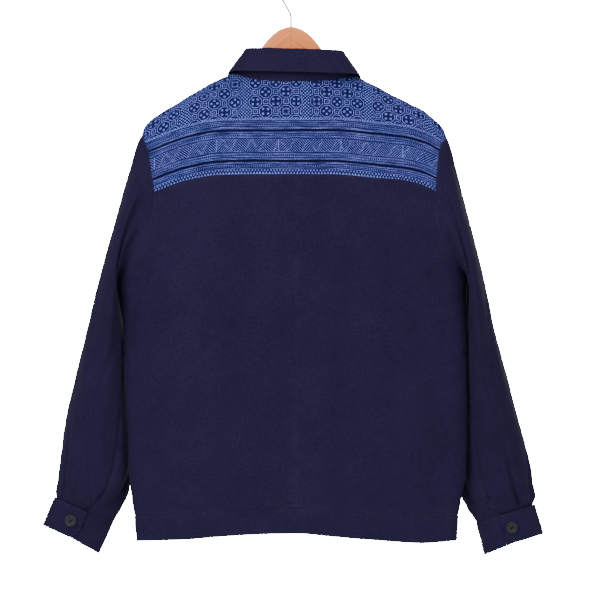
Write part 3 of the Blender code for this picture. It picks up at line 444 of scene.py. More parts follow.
def half_width(sign, drop):
    """Width of the body from its centre-back line to one side."""
    return np.where(sign < 0, CENTRE_BACK - left_edge(drop), right_edge(drop) - CENTRE_BACK)


def across_at(x, drop):
    """Place across the body, from -1 at the left side to 1 at the right side."""
    return np.clip((x - CENTRE_BACK) / half_width(x - CENTRE_BACK, drop), -1, 1)


def deep_at(x, drop):
    return (1 - np.abs(across_at(x, drop)) ** SIDE_POWER) ** (1 / SIDE_POWER)


def shoulder_point(x, over):
    """Point of the upper body: over is negative in front of the ridge, positive behind."""
    face = np.where(over < 0, 1, -1)
    drop = ridge_drop(x) + drop_over(over)
    y = face * body_depth(x, drop, face, deep_at(x, drop))
    return np.stack([x + 0 * y, y, -drop], -1)


def girth_point(girth, drop):
    """Point of the lower body: girth is 0 at the centre back, 1 at a side, 2 in front."""
    size = np.abs(girth)
    face = np.where(size > 1, 1, -1)
    quarter = np.where(size > 1, np.abs(2 - size), size)
    side = np.sign(girth) * np.where(size > 2, -1, 1)
    x = CENTRE_BACK + side * np.interp(quarter, GIRTH, ACROSS) * half_width(side, drop)
    y = face * body_depth(x, drop, face, np.interp(quarter, GIRTH, DEEP))
    return np.stack([x, y, -drop], -1)


def girth_at(x, drop, face):
    across = across_at(x, drop)
    quarter = np.interp(np.abs(across), ACROSS, GIRTH)
    return np.where(across < 0, -1, 1) * np.where(face > 0, 2 - quarter, quarter)


def unit(v):
    return v / np.maximum(np.linalg.norm(v, axis=-1, keepdims=True), 1e-12)


def normals(point, a, b, step_a, step_b):
    """Outward unit normals of a surface whose b runs down and whose a runs across."""
    along_a = point(a + step_a, b) - point(a - step_a, b)
    along_b = point(a, b + step_b) - point(a, b - step_b)
    return unit(np.cross(along_b, along_a))


def yoke_map(a, b):
    return shoulder_point(a, b), normals(shoulder_point, a, b, 0.8, 0.8)


def panel_map(a, b):
    girth = a / GIRTH_QUARTER
    return girth_point(girth, b), normals(girth_point, girth, b, 0.003, 0.8)


print("half width at the chest:", round(float(half_width(1, CHEST_DROP))), "mm")

# %% [markdown]
# ## Armhole, neck and sleeve curves
# Pieces meet along the armhole and the neck, so those curves are shared. The sleeve is a row of
# ovals between its outer and inner edge, with folds and the pleats that lead into the cuff.

# %%
def armhole_curve(side):
    """The armhole from its ridge tip (0) to the underarm (1), as smooth x and drop."""
    rows = ARMHOLE[side]
    steps = [math.dist(a, b) for a, b in zip(rows, rows[1:])]
    place = np.concatenate([[0], np.cumsum(steps)]) / sum(steps)
    reach = monotone(place, [side * r.reach for r in rows])
    drop = monotone(place, [r.drop for r in rows])
    return reach, drop


def place_where(test, low=0.0, high=1.0):
    """Place on a curve where a rising test changes sign."""
    for _ in range(40):
        middle = (low + high) / 2
        if test(middle) > 0:
            high = middle
        else:
            low = middle
    return (low + high) / 2


def neck_edge(place):
    """Neck seam by its place, 0 at the centre back and -1 or 1 at the centre front."""
    angle = np.asarray(place, float) * math.pi
    x = CENTRE + NECK_HALF * np.sin(angle)
    lean = np.cos(angle)
    left, right = ridge_drop(CENTRE - NECK_HALF), ridge_drop(CENTRE + NECK_HALF)
    side_drop = (left + right) / 2 + (right - left) / 2 * np.sin(angle)
    fall = np.where(lean > 0, (NECK_BACK_DROP - side_drop) * lean, -NECK_FRONT_FALL * lean)
    over = over_drop(np.maximum(side_drop + fall - ridge_drop(x), 0))
    return x, np.where(lean >= 0, over, -over)


def neck_place_at_yoke():
    """Place on the neck seam where the yoke's front seam meets it."""
    return place_where(lambda place: -neck_edge(place)[1] - YOKE_WRAP, 0.5, 0.8)


def ring_value(side, name):
    rows = SLEEVES[side]
    return monotone(range(len(rows)), [getattr(r, name) for r in rows])


SLEEVE_CURVES = {side: {n: ring_value(side, n) for n in Ring._fields} for side in SLEEVES}


def ellipse(side, row, turn):
    """Plain elliptical sleeve section: turn runs from the underarm over the back."""
    curve = SLEEVE_CURVES[side]
    out = np.stack([side * curve["out_x"](row), curve["forward"](row), -curve["out_drop"](row)], -1)
    inn = np.stack([side * curve["in_x"](row), curve["forward"](row), -curve["in_drop"](row)], -1)
    angle = 2 * math.pi * np.asarray(turn)[..., None]
    deep = np.stack([0 * row, curve["depth"](row), 0 * row], -1)
    middle = (out + inn) / 2
    return middle + (inn - out) / 2 * np.cos(angle) - deep * np.sin(angle), middle


def seam_turn(row):
    """Where the sleeve's seam lies: under the arm at the top, at the back by the cuff."""
    last = len(SLEEVES[1]) - 1
    ease = np.clip(row / last, 0, 1)
    return 0.235 * ease**1.6


def sleeve_folds(row, turn):
    total = np.zeros(np.broadcast(row, turn).shape)
    for fold in SLEEVE_FOLDS:
        along = (row - fold.row_top) / (fold.row_end - fold.row_top)
        side = (turn - fold.turn_top - along * (fold.turn_end - fold.turn_top)) / fold.width
        ends = np.clip(4 * along * (1 - along), 0, 1)
        total = total + fold.depth * ends * np.exp(-(side**2))
    last = len(SLEEVES[1]) - 1
    for pleat in PLEATS:
        along = np.clip((row - pleat.row_top) / (last - pleat.row_top), 0, 1)
        side = (turn - pleat.turn) / pleat.width
        near_cuff = np.clip((last - row) / PLEAT_EASE, PLEAT_LEAST, 1)
        total = total + pleat.depth * along * near_cuff * np.exp(-(side**2))
    return total


print("sleeve curves:", sum(len(curves) for curves in SLEEVE_CURVES.values()))

# %% [markdown]
# ## Cuff and collar curves
# A cuff is one strap round the wrist whose tab climbs over its own start. The collar's curves come
# from its list, turned over for the other side.

# %%
CuffFrame = namedtuple("CuffFrame", "middle out_way down_way half_width")


def cuff_frame(side):
    ring = SLEEVES[side][-1]
    out = Vector((side * ring.out_x, ring.forward, -ring.out_drop))
    inn = Vector((side * ring.in_x, ring.forward, -ring.in_drop))
    way = (out - inn).normalized()
    down = Vector((0, side, 0)).cross(way)
    return CuffFrame((out + inn) / 2, way, down, (out - inn).length / 2)


# Turns round the cuff: its hidden end, the tab's end and the button, and where the tab climbs.
Strap = namedtuple("Strap", "start end button")
STRAPS = {-1: Strap(0.125, 1.269, 1.21), 1: Strap(0.125, 1.279, 1.237)}
TAB_CLIMB = (0.78, 1.06)
TAB_LIFT = DOUBLE + 2 * GAP
CUFF_NARROW = {-1: 1.0, 1: -2.5}  # how far the cuff's inner side draws in by its lower edge
CUFF_SLANT = 0.11  # the cuff's inner side is deeper than its outer side by this share


def cuff_point(side, turn, down, lift=0.0):
    """Outer face of the cuff strip: turn 0 is the outer side and 0.25 the back."""
    frame = cuff_frame(side)
    ease = np.clip((turn - TAB_CLIMB[0]) / (TAB_CLIMB[1] - TAB_CLIMB[0]), 0, 1)
    grow = CUFF_CLEAR + TAB_LIFT * ease * ease * (3 - 2 * ease) + lift
    angle = 2 * math.pi * np.asarray(turn)
    wide = (frame.half_width + grow) * np.cos(angle)
    inner_side = np.clip(-np.cos(angle), 0, 1)
    wide = wide + CUFF_NARROW[side] * inner_side * np.clip(down / CUFF_HEIGHT, 0, 1)
    down = down * (1 + CUFF_SLANT * inner_side)
    deep = -(CUFF_HALF_DEPTH + grow) * np.sin(angle)
    middle = np.array(frame.middle) + np.array(frame.down_way) * np.asarray(down)[..., None]
    out_way = np.array(frame.out_way)
    return middle + wide[..., None] * out_way + deep[..., None] * np.array([0, 1, 0])


def collar_value(name):
    rows = COLLAR
    places = [-r.place for r in rows[:0:-1]] + [r.place for r in rows]
    flip = -1 if name.endswith("_x") else 1
    values = [flip * getattr(r, name) for r in rows[:0:-1]] + [getattr(r, name) for r in rows]
    return monotone(places, values)


def collar_line(kind, place):
    x = CENTRE + collar_value(kind + "_x")(place)
    drop = collar_value(kind + "_drop")(place) + COLLAR_TILT * (x - CENTRE)
    return np.stack([x, collar_value(kind + "_y")(place), -drop], -1)


def outward_of(line):
    along = np.gradient(line, axis=0) * [1, 1, 0]
    out = unit(np.cross(along, [0, 0, 1]))
    return out * np.where((out * (line - line.mean(0))).sum() < 0, -1, 1)


chest = right_edge(CHEST_DROP) - left_edge(CHEST_DROP)
print("neck width:", round(2 * NECK_HALF), "mm; chest:", round(chest), "mm")

# %% [markdown]
# ## Creases
# Worn cotton keeps soft, uneven marks: long shallow waves where it hangs, short troughs where a
# seam pulls, and a fine crumple all over. Each large one is given by its ends, width and
# depth; the fine crumple is a sum of long and short ripples in many directions, which stays the
# same on both sides of a seam.

# %%
Crease = namedtuple("Crease", "face x_top drop_top x_end drop_end width depth")
CREASES = [
    Crease(-1, -46, 803, 20, 799, 2.0, 1.7),
    Crease(-1, -24, 792, 34, 786, 2.6, 1.0),
    Crease(-1, -30, 716, 34, 726, 3.5, 0.9),
    Crease(-1, 4, 738, 44, 733, 3.0, 0.8),
    Crease(-1, -6, 752, 30, 762, 3.2, 0.9),
    Crease(-1, -52, 776, -8, 789, 3.5, 0.8),
    Crease(-1, 20, 700, 48, 745, 5.0, 0.7),
    Crease(-1, -210, 400, -150, 330, 9.0, 1.3),
    Crease(-1, 214, 420, 178, 380, 8.0, 1.5),
    Crease(-1, 236, 470, 206, 448, 7.0, 2.2),
    Crease(-1, -236, 470, -206, 446, 8.0, 1.6),
    Crease(-1, -128, 500, -104, 640, 12.0, 1.1),
    Crease(-1, -78, 420, -58, 560, 11.0, 1.0),
    Crease(-1, 126, 560, 108, 700, 12.0, 1.1),
    Crease(-1, 40, 480, 52, 640, 12.0, 0.9),
    Crease(-1, -150, 640, -168, 790, 9.0, 1.2),
    Crease(-1, -96, 690, -90, 808, 7.0, 1.0),
    Crease(-1, 92, 700, 84, 808, 7.5, 1.0),
    Crease(-1, 152, 680, 168, 806, 9.0, 1.2),
    Crease(1, -60, 330, -150, 420, 10.0, 1.4),
    Crease(1, 60, 330, 160, 430, 10.0, 1.4),
    Crease(1, -70, 520, -54, 700, 10.0, 1.0),
    Crease(1, 84, 500, 96, 690, 10.0, 1.0),
    Crease(1, -120, 660, -140, 806, 8.0, 1.1),
    Crease(1, 130, 670, 146, 806, 8.0, 1.1),
    Crease(1, -210, 440, -170, 410, 8.0, 1.8),
    Crease(1, 214, 440, 172, 412, 8.0, 1.8),
]


def ripples(points, size, seed, count=9):
    """A smooth uneven field between about -1 and 1, made of waves of about one size."""
    rng = np.random.default_rng(seed)
    ways = rng.normal(size=(count, 3))
    ways = ways / np.linalg.norm(ways, axis=1, keepdims=True)
    lengths = size * rng.uniform(0.7, 1.6, count)
    shifts = rng.uniform(0, 2 * math.pi, count)
    waves = np.sin(points @ (ways * 2 * math.pi / lengths[:, None]).T + shifts)
    return waves.sum(-1) / math.sqrt(count)


def crease_depth(x, drop, face):
    total = np.zeros(np.broadcast(x, drop).shape)
    for c in CREASES:
        run_x, run_z = c.x_end - c.x_top, c.drop_end - c.drop_top
        length = math.hypot(run_x, run_z)
        along = ((x - c.x_top) * run_x + (drop - c.drop_top) * run_z) / length
        side = ((x - c.x_top) * run_z - (drop - c.drop_top) * run_x) / length
        side = side + 0.10 * length * np.sin(3.1 * along / length + c.width)
        share = along / length
        ends = np.exp(-np.maximum(np.abs(share - 0.5) - 0.32, 0) ** 2 / 0.02)
        trough = np.exp(-((side / c.width) ** 2)) - 0.45 * np.exp(-(((side - 1.9 * c.width) / c.width) ** 2))
        total = total + np.where(face == c.face, c.depth * ends * trough, 0)
    return total


def body_relief(points, face):
    """How far the body's cloth is pushed in by its creases and crumple."""
    x, drop = points[:, 0], -points[:, 2]
    low = np.clip((drop - 300) / 480, 0, 1)
    wave = ripples(points * [1, 0.3, 0.16], 74, 3) * (1.0 + 1.1 * low)
    crumple = 0.30 * ripples(points, 26, 5) + 0.14 * ripples(points, 11, 7)
    pull = np.exp(-np.maximum(815 - drop, 0) / 16) * ripples(points * [1, 0.3, 0.12], 15, 11)
    return crease_depth(x, drop, face) + wave + crumple + 0.5 * pull


def yoke_surface(a, b):
    """Point and normal of the yoke, creases included."""
    points, out = yoke_map(a, b)
    return points - out * body_relief(points, np.where(b < 0, 1, -1))[:, None], out


def panel_surface(a, b):
    """Point and normal of the lower body, creases included."""
    points, out = panel_map(a, b)
    face = np.where(np.abs(a) > GIRTH_QUARTER, 1, -1)
    return points - out * body_relief(points, face)[:, None], out


print("creases placed by hand on the body:", len(CREASES))

# %% [markdown]
# ## Turning a sheet of points into cloth
# Every piece is a thin closed shell: an outer sheet, an inner sheet one cloth thickness below it
# and a rim round each open edge. A Solidify modifier could do this too, but here the inner sheet
# is written out, so that doubled pieces can have rounded edges.

# %%
def grid_faces(rows, columns):
    at = np.arange(rows * columns).reshape(rows, columns)
    corners = np.stack([at[:-1, :-1], at[:-1, 1:], at[1:, 1:], at[1:, :-1]], -1)
    return corners.reshape(-1, 4)


def rim_of(faces, count):
    """Quads that join the outer and inner sheet along every edge that only one face has."""
    starts = faces.reshape(-1)
    ends = np.roll(faces, -1, axis=1).reshape(-1)
    total = count + 1
    once = ~np.isin(starts * total + ends, ends * total + starts)
    a, b = starts[once], ends[once]
    return np.stack([b, a, a + count, b + count], -1)


def shell(name, outer, inner, faces, uv, tone=None, sharp=50):
    """A cloth piece from two matching sheets of points, in millimetres, with its flat pattern as UV."""
    count = len(outer)
    rim = rim_of(faces, count)
    every = [faces, faces[:, ::-1] + count, rim]
    mesh = bpy.data.meshes.new(name)
    points = np.concatenate([outer, inner]) * MM
    mesh.from_pydata(points.tolist(), [], [f for part in every for f in part.tolist()])
    layer = mesh.uv_layers.new(name="Cloth")
    corner = np.empty(len(mesh.loops), np.int32)
    mesh.loops.foreach_get("vertex_index", corner)
    both = np.concatenate([uv, uv]) * MM
    layer.data.foreach_set("uv", both[corner].astype(np.float32).reshape(-1))
    shade = mesh.attributes.new("wear", "FLOAT", "POINT")
    tone = np.zeros(count) if tone is None else tone
    shade.data.foreach_set("value", np.concatenate([tone, tone]).astype(np.float32))
    build = bmesh.new()
    build.from_mesh(mesh)
    bmesh.ops.recalc_face_normals(build, faces=build.faces)
    build.to_mesh(mesh)
    build.free()
    mesh.shade_smooth()
    mesh.set_sharp_from_angle(angle=math.radians(sharp))
    obj = bpy.data.objects.new(name, mesh)
    bpy.context.scene.collection.objects.link(obj)
    return obj


def near_edge(points, outline):
    """Distance from flat points to a closed outline."""
    start, run = outline, np.roll(outline, -1, 0) - outline
    best = np.full(len(points), np.inf)
    for s, r in zip(start, run):
        away = points - s
        t = np.clip((away @ r) / max(float(r @ r), 1e-9), 0, 1)
        best = np.minimum(best, np.linalg.norm(away - t[:, None] * r, axis=1))
    return best


def fill_points(outline, step):
    """Evenly staggered points inside a flat outline."""
    low, high = outline.min(0), outline.max(0)
    rows = np.arange(low[1] + step / 2, high[1], step * math.sqrt(3) / 2)
    spots = []
    for i, v in enumerate(rows):
        run = np.roll(outline, -1, 0) - outline
        over = (outline[:, 1] > v) != (np.roll(outline[:, 1], -1) > v)
        cuts = np.sort(outline[over, 0] + (v - outline[over, 1]) * run[over, 0] / run[over, 1])
        line = np.arange(low[0] + (i % 2) * step / 2, high[0], step)
        inside = np.searchsorted(cuts, line) % 2 == 1
        spots.append(np.stack([line[inside], np.full(inside.sum(), v)], -1))
    spots = np.concatenate(spots)
    return spots[near_edge(spots, outline) > 0.45 * step]


def finer(outline, step):
    """The outline with its long sides divided, so that its edge follows the curved surface."""
    points = []
    for a, b in zip(outline, np.roll(outline, -1, 0)):
        count = max(1, int(round(math.dist(a, b) / step)))
        points += [a + (b - a) * i / count for i in range(count)]
    return np.array(points)


SEAM_DIP, SEAM_REACH = 0.9, 3.0


def panel(name, outline, surface, step, dip=None, pattern=None):
    """A cloth piece: its flat outline filled with small triangles and laid on a surface."""
    edge = finer(np.array(outline, float), step)
    inside = fill_points(edge, step)
    flat = [Vector(p) for p in np.concatenate([edge, inside])]
    verts, _, faces, *_ = delaunay_2d_cdt(flat, [], [list(range(len(edge)))], 1, 1e-4)
    flat = np.array([tuple(v) for v in verts])
    points, out = surface(flat[:, 0], flat[:, 1])
    reach = near_edge(flat, edge)
    pucker = 1 + 0.5 * ripples(points, 9, 21)
    sunk = SEAM_DIP * pucker * np.exp(-((reach / SEAM_REACH) ** 2))
    if dip:
        sunk = sunk + dip(points)
    outer = points - out * sunk[:, None]
    uv = flat if pattern is None else pattern(flat)
    wear = np.exp(-reach / 4.0)
    obj = shell(name, outer, outer - out * LAYER, np.array([tuple(f) for f in faces]), uv, wear)
    print(name, "panel:", len(flat), "points")
    return obj


print("cloth step:", CLOTH_STEP, "mm; yoke step:", YOKE_STEP, "mm")

# %% [markdown]
# ## Armholes
# The armhole is the curve where the sleeve meets the body. Sampling it once and using the same
# samples for the yoke, the fronts, the backs and the sleeve keeps the seam shut.

# %%
ARM_COLUMNS = (44, 32, 10, 66)


def armhole_points(side):
    """Armhole samples in the order underarm, back, ridge, front, underarm."""
    reach, drop = armhole_curve(side)
    back = place_where(lambda q: drop(q) - yoke_seam(reach(q)))
    front = place_where(lambda q: drop(q) - ridge_drop(reach(q)) - drop_over(YOKE_WRAP))
    stops = (1, back, 0, front, 1)
    places, faces = [], []
    for i, count in enumerate(ARM_COLUMNS):
        places += list(np.linspace(stops[i], stops[i + 1], count, endpoint=False))
        faces += [-1 if i < 2 else 1] * count
    places, faces = np.array(places + [1.0]), np.array(faces + [1])
    x, z = reach(places), drop(places)
    over = -faces * over_drop(z - ridge_drop(x))
    upper = np.arange(len(x))
    on_yoke = (upper >= ARM_COLUMNS[0]) & (upper <= sum(ARM_COLUMNS[:3]))
    girth = girth_at(x, z, faces) * GIRTH_QUARTER
    girth[[0, -1]] = side * GIRTH_QUARTER
    top, top_out = yoke_surface(x, over)
    low, low_out = panel_surface(girth, z)
    point = np.where(on_yoke[:, None], top, low)
    out = np.where(on_yoke[:, None], top_out, low_out)
    return {"point": point, "out": out, "x": x, "drop": z, "over": over, "girth": girth}


ARMHOLES = {side: armhole_points(side) for side in (-1, 1)}


def arm_slice(start, end):
    at = np.concatenate([[0], np.cumsum(ARM_COLUMNS)])
    return slice(at[start], at[end] + 1)


def spread(start, end, step=8.0):
    count = max(1, round(abs(end - start) / step))
    return np.linspace(start, end, count, endpoint=False)


def neck_places(start, end):
    """Sample places round the neck, shared by every piece that meets its seam."""
    corner = neck_place_at_yoke()
    front = np.linspace(corner, 1, 36)
    every = np.concatenate([-front[::-1], np.linspace(-corner, corner, 120)[1:-1], front])
    return every[(every > start - 1e-6) & (every < end + 1e-6)]


for side, arm in ARMHOLES.items():
    steps = np.linalg.norm(np.diff(arm["point"], axis=0), axis=1)
    print("armhole", side, "length:", round(float(steps.sum())), "mm")

# %% [markdown]
# ## Yoke
# The yoke is one piece of wax-resist cloth that covers the back of the shoulders and comes a
# little over to the front. Its pattern runs level with its lower edge, so the flat pattern is
# measured up from that seam.

# %%
def yoke_pattern(flat):
    x, over = flat[:, 0], flat[:, 1]
    seam = over_drop(yoke_seam(x) - ridge_drop(x))
    return np.stack([x, seam - over], -1)


def make_yoke():
    left, right = ARMHOLES[-1], ARMHOLES[1]
    corner = neck_place_at_yoke()
    neck_x, neck_over = neck_edge(neck_places(-corner, corner))
    upper = arm_slice(1, 3)
    left_x, left_over = left["x"][upper][::-1], left["over"][upper][::-1]
    right_x, right_over = right["x"][upper], right["over"][upper]
    outline = [(x, -YOKE_WRAP) for x in spread(left_x[0], neck_x[0])]
    outline += list(zip(neck_x, neck_over))
    outline += [(x, -YOKE_WRAP) for x in spread(neck_x[-1], right_x[-1])[1:]]
    outline += list(zip(right_x, right_over))[::-1]
    for x in spread(right_x[0], left_x[-1])[1:]:
        outline.append((x, over_drop(yoke_seam(x) - ridge_drop(x))))
    outline += list(zip(left_x, left_over))[::-1][:-1]
    return panel("yoke_cloth", outline, yoke_surface, YOKE_STEP, pattern=yoke_pattern)


yoke = make_yoke()

# %% [markdown]
# ## Backs and fronts
# Below the yoke the back is in two halves with a seam down the middle, and the fronts button
# over each other. Each half is one flat outline on the body's surface.

# %%
def girth_line(x_values, drop_at, face):
    drops = drop_at(x_values)
    return list(zip(girth_at(x_values, drops, face) * GIRTH_QUARTER, drops))


def hem_row(start, end, step=8.0):
    girths = np.append(spread(start, end, step), end)
    drops = np.full(len(girths), 800.0)
    for _ in range(8):
        drops = hem_seam(girth_point(girths / GIRTH_QUARTER, drops)[:, 0])
    return girths, drops


def centre_girth(x, face, side):
    value = float(girth_at(np.float64(x), np.float64(600.0), face)) * GIRTH_QUARTER
    if face > 0 and value * side < 0:
        value = side * (4 * GIRTH_QUARTER - abs(value))
    return value


def make_back(side, name):
    arm = ARMHOLES[side]
    part = arm_slice(0, 1)
    middle = centre_girth(CENTRE_BACK, -1, side)
    top_x = spread(CENTRE_BACK, arm["x"][part][-1])
    outline = girth_line(top_x, yoke_seam, -1)
    outline[0] = (middle, outline[0][1])
    outline += list(zip(arm["girth"][part], arm["drop"][part]))[::-1]
    edge = side * GIRTH_QUARTER
    girths, drops = hem_row(edge, middle)
    outline += [(edge, d) for d in spread(outline[-1][1], drops[0])[1:]]
    outline += list(zip(girths, drops))
    outline += [(middle, d) for d in spread(drops[-1], outline[0][1])[1:]]
    return panel(name, outline, panel_surface, CLOTH_STEP)


def under_placket(points):
    ease = np.clip((CENTRE_BACK + DIP_REACH - points[:, 0]) / (DIP_REACH - DIP_FULL), 0, 1)
    return (DOUBLE + PLACKET_CLEAR) * ease * ease * (3 - 2 * ease)


def make_front(side, name):
    arm = ARMHOLES[side]
    part = arm_slice(3, 4)
    front_x = CENTRE_BACK - PLACKET_HALF + (0 if side < 0 else 2.0)
    middle = centre_girth(front_x, 1, side)
    end = place_where(lambda p: side * (front_x - neck_edge(side * p)[0]), 0.6, 1.2)
    places = side * neck_places(neck_place_at_yoke(), min(end, 1))
    neck_x, neck_over = neck_edge(places)
    neck_drop = ridge_drop(neck_x) + drop_over(neck_over)

    def front_seam(x):
        return ridge_drop(x) + drop_over(YOKE_WRAP)

    outline = girth_line(spread(arm["x"][part][0], neck_x[0])[1:], front_seam, 1)
    girths = girth_at(neck_x, neck_drop, 1) * GIRTH_QUARTER
    beyond = girths * side < 0
    girths = np.where(beyond, side * (4 * GIRTH_QUARTER - np.abs(girths)), girths)
    neck = list(zip(girths, neck_drop))
    neck[-1] = (middle, neck[-1][1])
    outline += neck
    edge = side * GIRTH_QUARTER
    girths, drops = hem_row(middle, edge)
    outline += [(middle, d) for d in spread(neck[-1][1], drops[0])[1:]]
    outline += list(zip(girths, drops))
    armhole = list(zip(arm["girth"][part], arm["drop"][part]))[::-1]
    outline += [(edge, d) for d in spread(drops[-1], armhole[0][1])[1:]]
    outline += armhole
    return panel(name, outline, panel_surface, CLOTH_STEP, dip=under_placket if side > 0 else None)


backs = [make_back(-1, "back_left_cloth"), make_back(1, "back_right_cloth")]
fronts = [make_front(-1, "front_left_cloth"), make_front(1, "front_right_cloth")]

# %% [markdown]
# ## Doubled strips
# Collar, cuffs, waistband and placket are folded double and stitched near their edges. A strip is
# a grid of points; its edges are rounded over, a shallow groove follows the line of stitches, and
# a little pucker runs along the groove.

# %%
def grid_out(points, centre):
    """Unit normals of a grid of points that point away from a centre."""
    out = unit(np.cross(np.gradient(points, axis=1), np.gradient(points, axis=0)))
    away = ((points - centre) * out).sum(-1).mean()
    return out * (1 if away > 0 else -1)


def lengths(points, axis):
    step = np.linalg.norm(np.diff(points, axis=axis), axis=-1)
    zero = np.zeros_like(np.take(step, [0], axis=axis))
    return np.concatenate([zero, np.cumsum(step, axis=axis)], axis=axis)


Strip = namedtuple("Strip", "piece points out along down")


def strip(name, points, out, thick=DOUBLE, groove=4.0, grooved=(1, 1, 1, 1), relief=None):
    """A doubled piece. Grooved edges are named in the order top, bottom, start and end."""
    along, down = lengths(points, 1), lengths(points, 0)
    gaps = [down, down[-1:] - down, along, along[:, -1:] - along]
    near = np.minimum.reduce(gaps)
    rounding = thick / 2
    over = np.clip(rounding - near, 0, rounding)
    fall = rounding - np.sqrt(rounding**2 - over**2)
    line = np.zeros(points.shape[:2])
    for gap, used in zip(gaps, grooved):
        if used:
            others = np.minimum.reduce([g for g, u in zip(gaps, grooved) if u])
            dent = np.exp(-(((gap - groove) / 1.1) ** 2))
            line = np.maximum(line, np.where(others > groove - 2.5, dent, 0))
    flatten = points.reshape(-1, 3)
    shaped = points.shape[:2]
    pucker = ripples(flatten, 7, 31).reshape(shaped)
    soft = 0.22 * ripples(flatten, 24, 33).reshape(shaped) + 0.10 * ripples(flatten, 10, 35).reshape(shaped)
    sunk = fall + line * (0.32 + 0.12 * pucker) + soft * np.clip(near / 6, 0, 1)
    if relief is not None:
        sunk = sunk + relief
    outer = points - out * sunk[..., None]
    inner = points - out * (thick - fall + 0.6 * soft * np.clip(near / 6, 0, 1))[..., None]
    uv = np.stack([along, down], -1).reshape(-1, 2)
    wear = np.exp(-near.reshape(-1) / 2.5)
    piece = shell(name, outer.reshape(-1, 3), inner.reshape(-1, 3), grid_faces(*shaped), uv, wear)
    print(name, "strip:", round(float(along[0, -1])), "x", round(float(down[-1, 0])), "mm")
    return Strip(piece, outer, out, along, down)


def strip_rows(count, length, edge=1.2):
    """Shares along a strip, closer together at both ends where its edge is rounded."""
    ends = np.array([0, 0.12, 0.3, 0.6, 1.0]) * edge / length
    return np.concatenate([ends, np.linspace(edge / length, 1 - edge / length, count)[1:-1], 1 - ends[::-1]])


def make_placket():
    left = centre_girth(CENTRE_BACK - PLACKET_HALF + GAP / 2, 1, -1)
    right = centre_girth(CENTRE_BACK + PLACKET_HALF, 1, -1)
    neck_x, neck_over = neck_edge(1.0)
    top = float(ridge_drop(neck_x) + drop_over(neck_over)) + PLACKET_BELOW_NECK
    end = float(hem_edge(CENTRE_BACK)) + GAP / 2
    a, b = np.meshgrid(left + (right - left) * strip_rows(14, 32), top + (end - top) * strip_rows(150, 600))
    points, out = panel_surface(a.reshape(-1), b.reshape(-1))
    return strip("placket_cloth", points.reshape(*a.shape, 3), out.reshape(*a.shape, 3), groove=5.0)


def make_hem(name, stops, dip=None, short=0.0):
    rows = [hem_row(start, end, 4.0) for start, end in zip(stops, stops[1:])]
    girths, drops = np.concatenate([np.array(r)[:, bool(i):] for i, r in enumerate(rows)], 1)
    share = strip_rows(12, HEM_BAND)[:, None]
    b = drops + GAP / 2 + (HEM_BAND - short - GAP / 2) * share
    a = np.broadcast_to(girths, b.shape)
    points, out = panel_surface(a.reshape(-1), b.reshape(-1))
    if dip:
        points = points - out * dip(points)[:, None]
    puckers = 0.5 * np.exp(-b / 1e9) * ripples(points * [1, 0.2, 0.2], 15, 41).reshape(b.shape)
    puckers = puckers * np.exp(-(HEM_BAND * share) / 16)
    return strip(name, points.reshape(*b.shape, 3), out.reshape(*b.shape, 3), groove=4.5,
                 grooved=(0, 1, 0, 0), relief=puckers)


placket = make_placket()
hem_left_end = centre_girth(CENTRE_BACK - PLACKET_HALF - GAP / 2, 1, -1)
hem_right_end = centre_girth(CENTRE_BACK - PLACKET_HALF + 2.0, 1, 1)
hem_back = make_hem("hem_back_cloth", (-GIRTH_QUARTER + GAP / 2, 0, GIRTH_QUARTER - GAP / 2))
hem_left = make_hem("hem_front_left_cloth", (hem_left_end, -GIRTH_QUARTER - GAP / 2), short=1.5)
hem_right = make_hem("hem_front_right_cloth", (hem_right_end, GIRTH_QUARTER + GAP / 2), under_placket, 1.5)

# %% [markdown]
# ## Sleeves
# A sleeve is one piece, closed by a seam from the underarm to the back of the cuff. It hangs
# forward of the body with a soft bend at the elbow, and its fullness goes into pleats above the
# cuff. The folds are troughs along a line on the sleeve, each with a small ridge beside it.

# %%
SleeveCrease = namedtuple("SleeveCrease", "side row_top turn_top row_end turn_end width depth")
SLEEVE_CREASES = [
    SleeveCrease(0, 0.2, 0.16, 4.2, 0.10, 0.020, 3.0),
    SleeveCrease(0, 1.2, 0.30, 4.4, 0.16, 0.018, 2.0),
    SleeveCrease(0, 2.6, 0.12, 7.4, 0.16, 0.026, 2.0),
    SleeveCrease(0, 5.6, 0.40, 8.4, 0.30, 0.030, 2.2),
    SleeveCrease(0, 6.6, 0.16, 8.8, 0.27, 0.022, 2.0),
    SleeveCrease(0, 8.6, 0.30, 12.6, 0.24, 0.020, 1.8),
    SleeveCrease(0, 5.2, 0.62, 8.0, 0.74, 0.030, 2.6),
    SleeveCrease(0, 6.6, 0.84, 9.0, 0.72, 0.026, 2.4),
    SleeveCrease(0, 2.0, 0.80, 5.5, 0.90, 0.026, 2.2),
    SleeveCrease(0, 9.8, 0.86, 13.0, 0.80, 0.024, 2.2),
    SleeveCrease(0, 10.4, 0.70, 13.4, 0.72, 0.020, 2.6),
    SleeveCrease(0, 10.6, 0.52, 13.6, 0.53, 0.018, 2.6),
    SleeveCrease(-1, 11.0, 0.04, 13.4, 0.14, 0.030, 4.0),
    SleeveCrease(1, 11.0, 0.04, 13.4, 0.14, 0.024, 3.0),
    SleeveCrease(0, 12.2, 0.20, 13.6, 0.19, 0.014, 1.6),
    SleeveCrease(-1, 9.7, 0.405, 14.3, 0.395, 0.012, 4.6),
    SleeveCrease(-1, 11.2, 0.32, 14.2, 0.33, 0.012, 2.4),
    SleeveCrease(1, 9.8, 0.305, 14.3, 0.355, 0.013, 4.6),
    SleeveCrease(1, 10.6, 0.455, 14.3, 0.465, 0.011, 3.6),
]
SIDE_PRESS, ARMHOLE_SINK, SEAM_TUCK, CUFF_TUCK = 8.0, 4.0, 2.4, 5.0
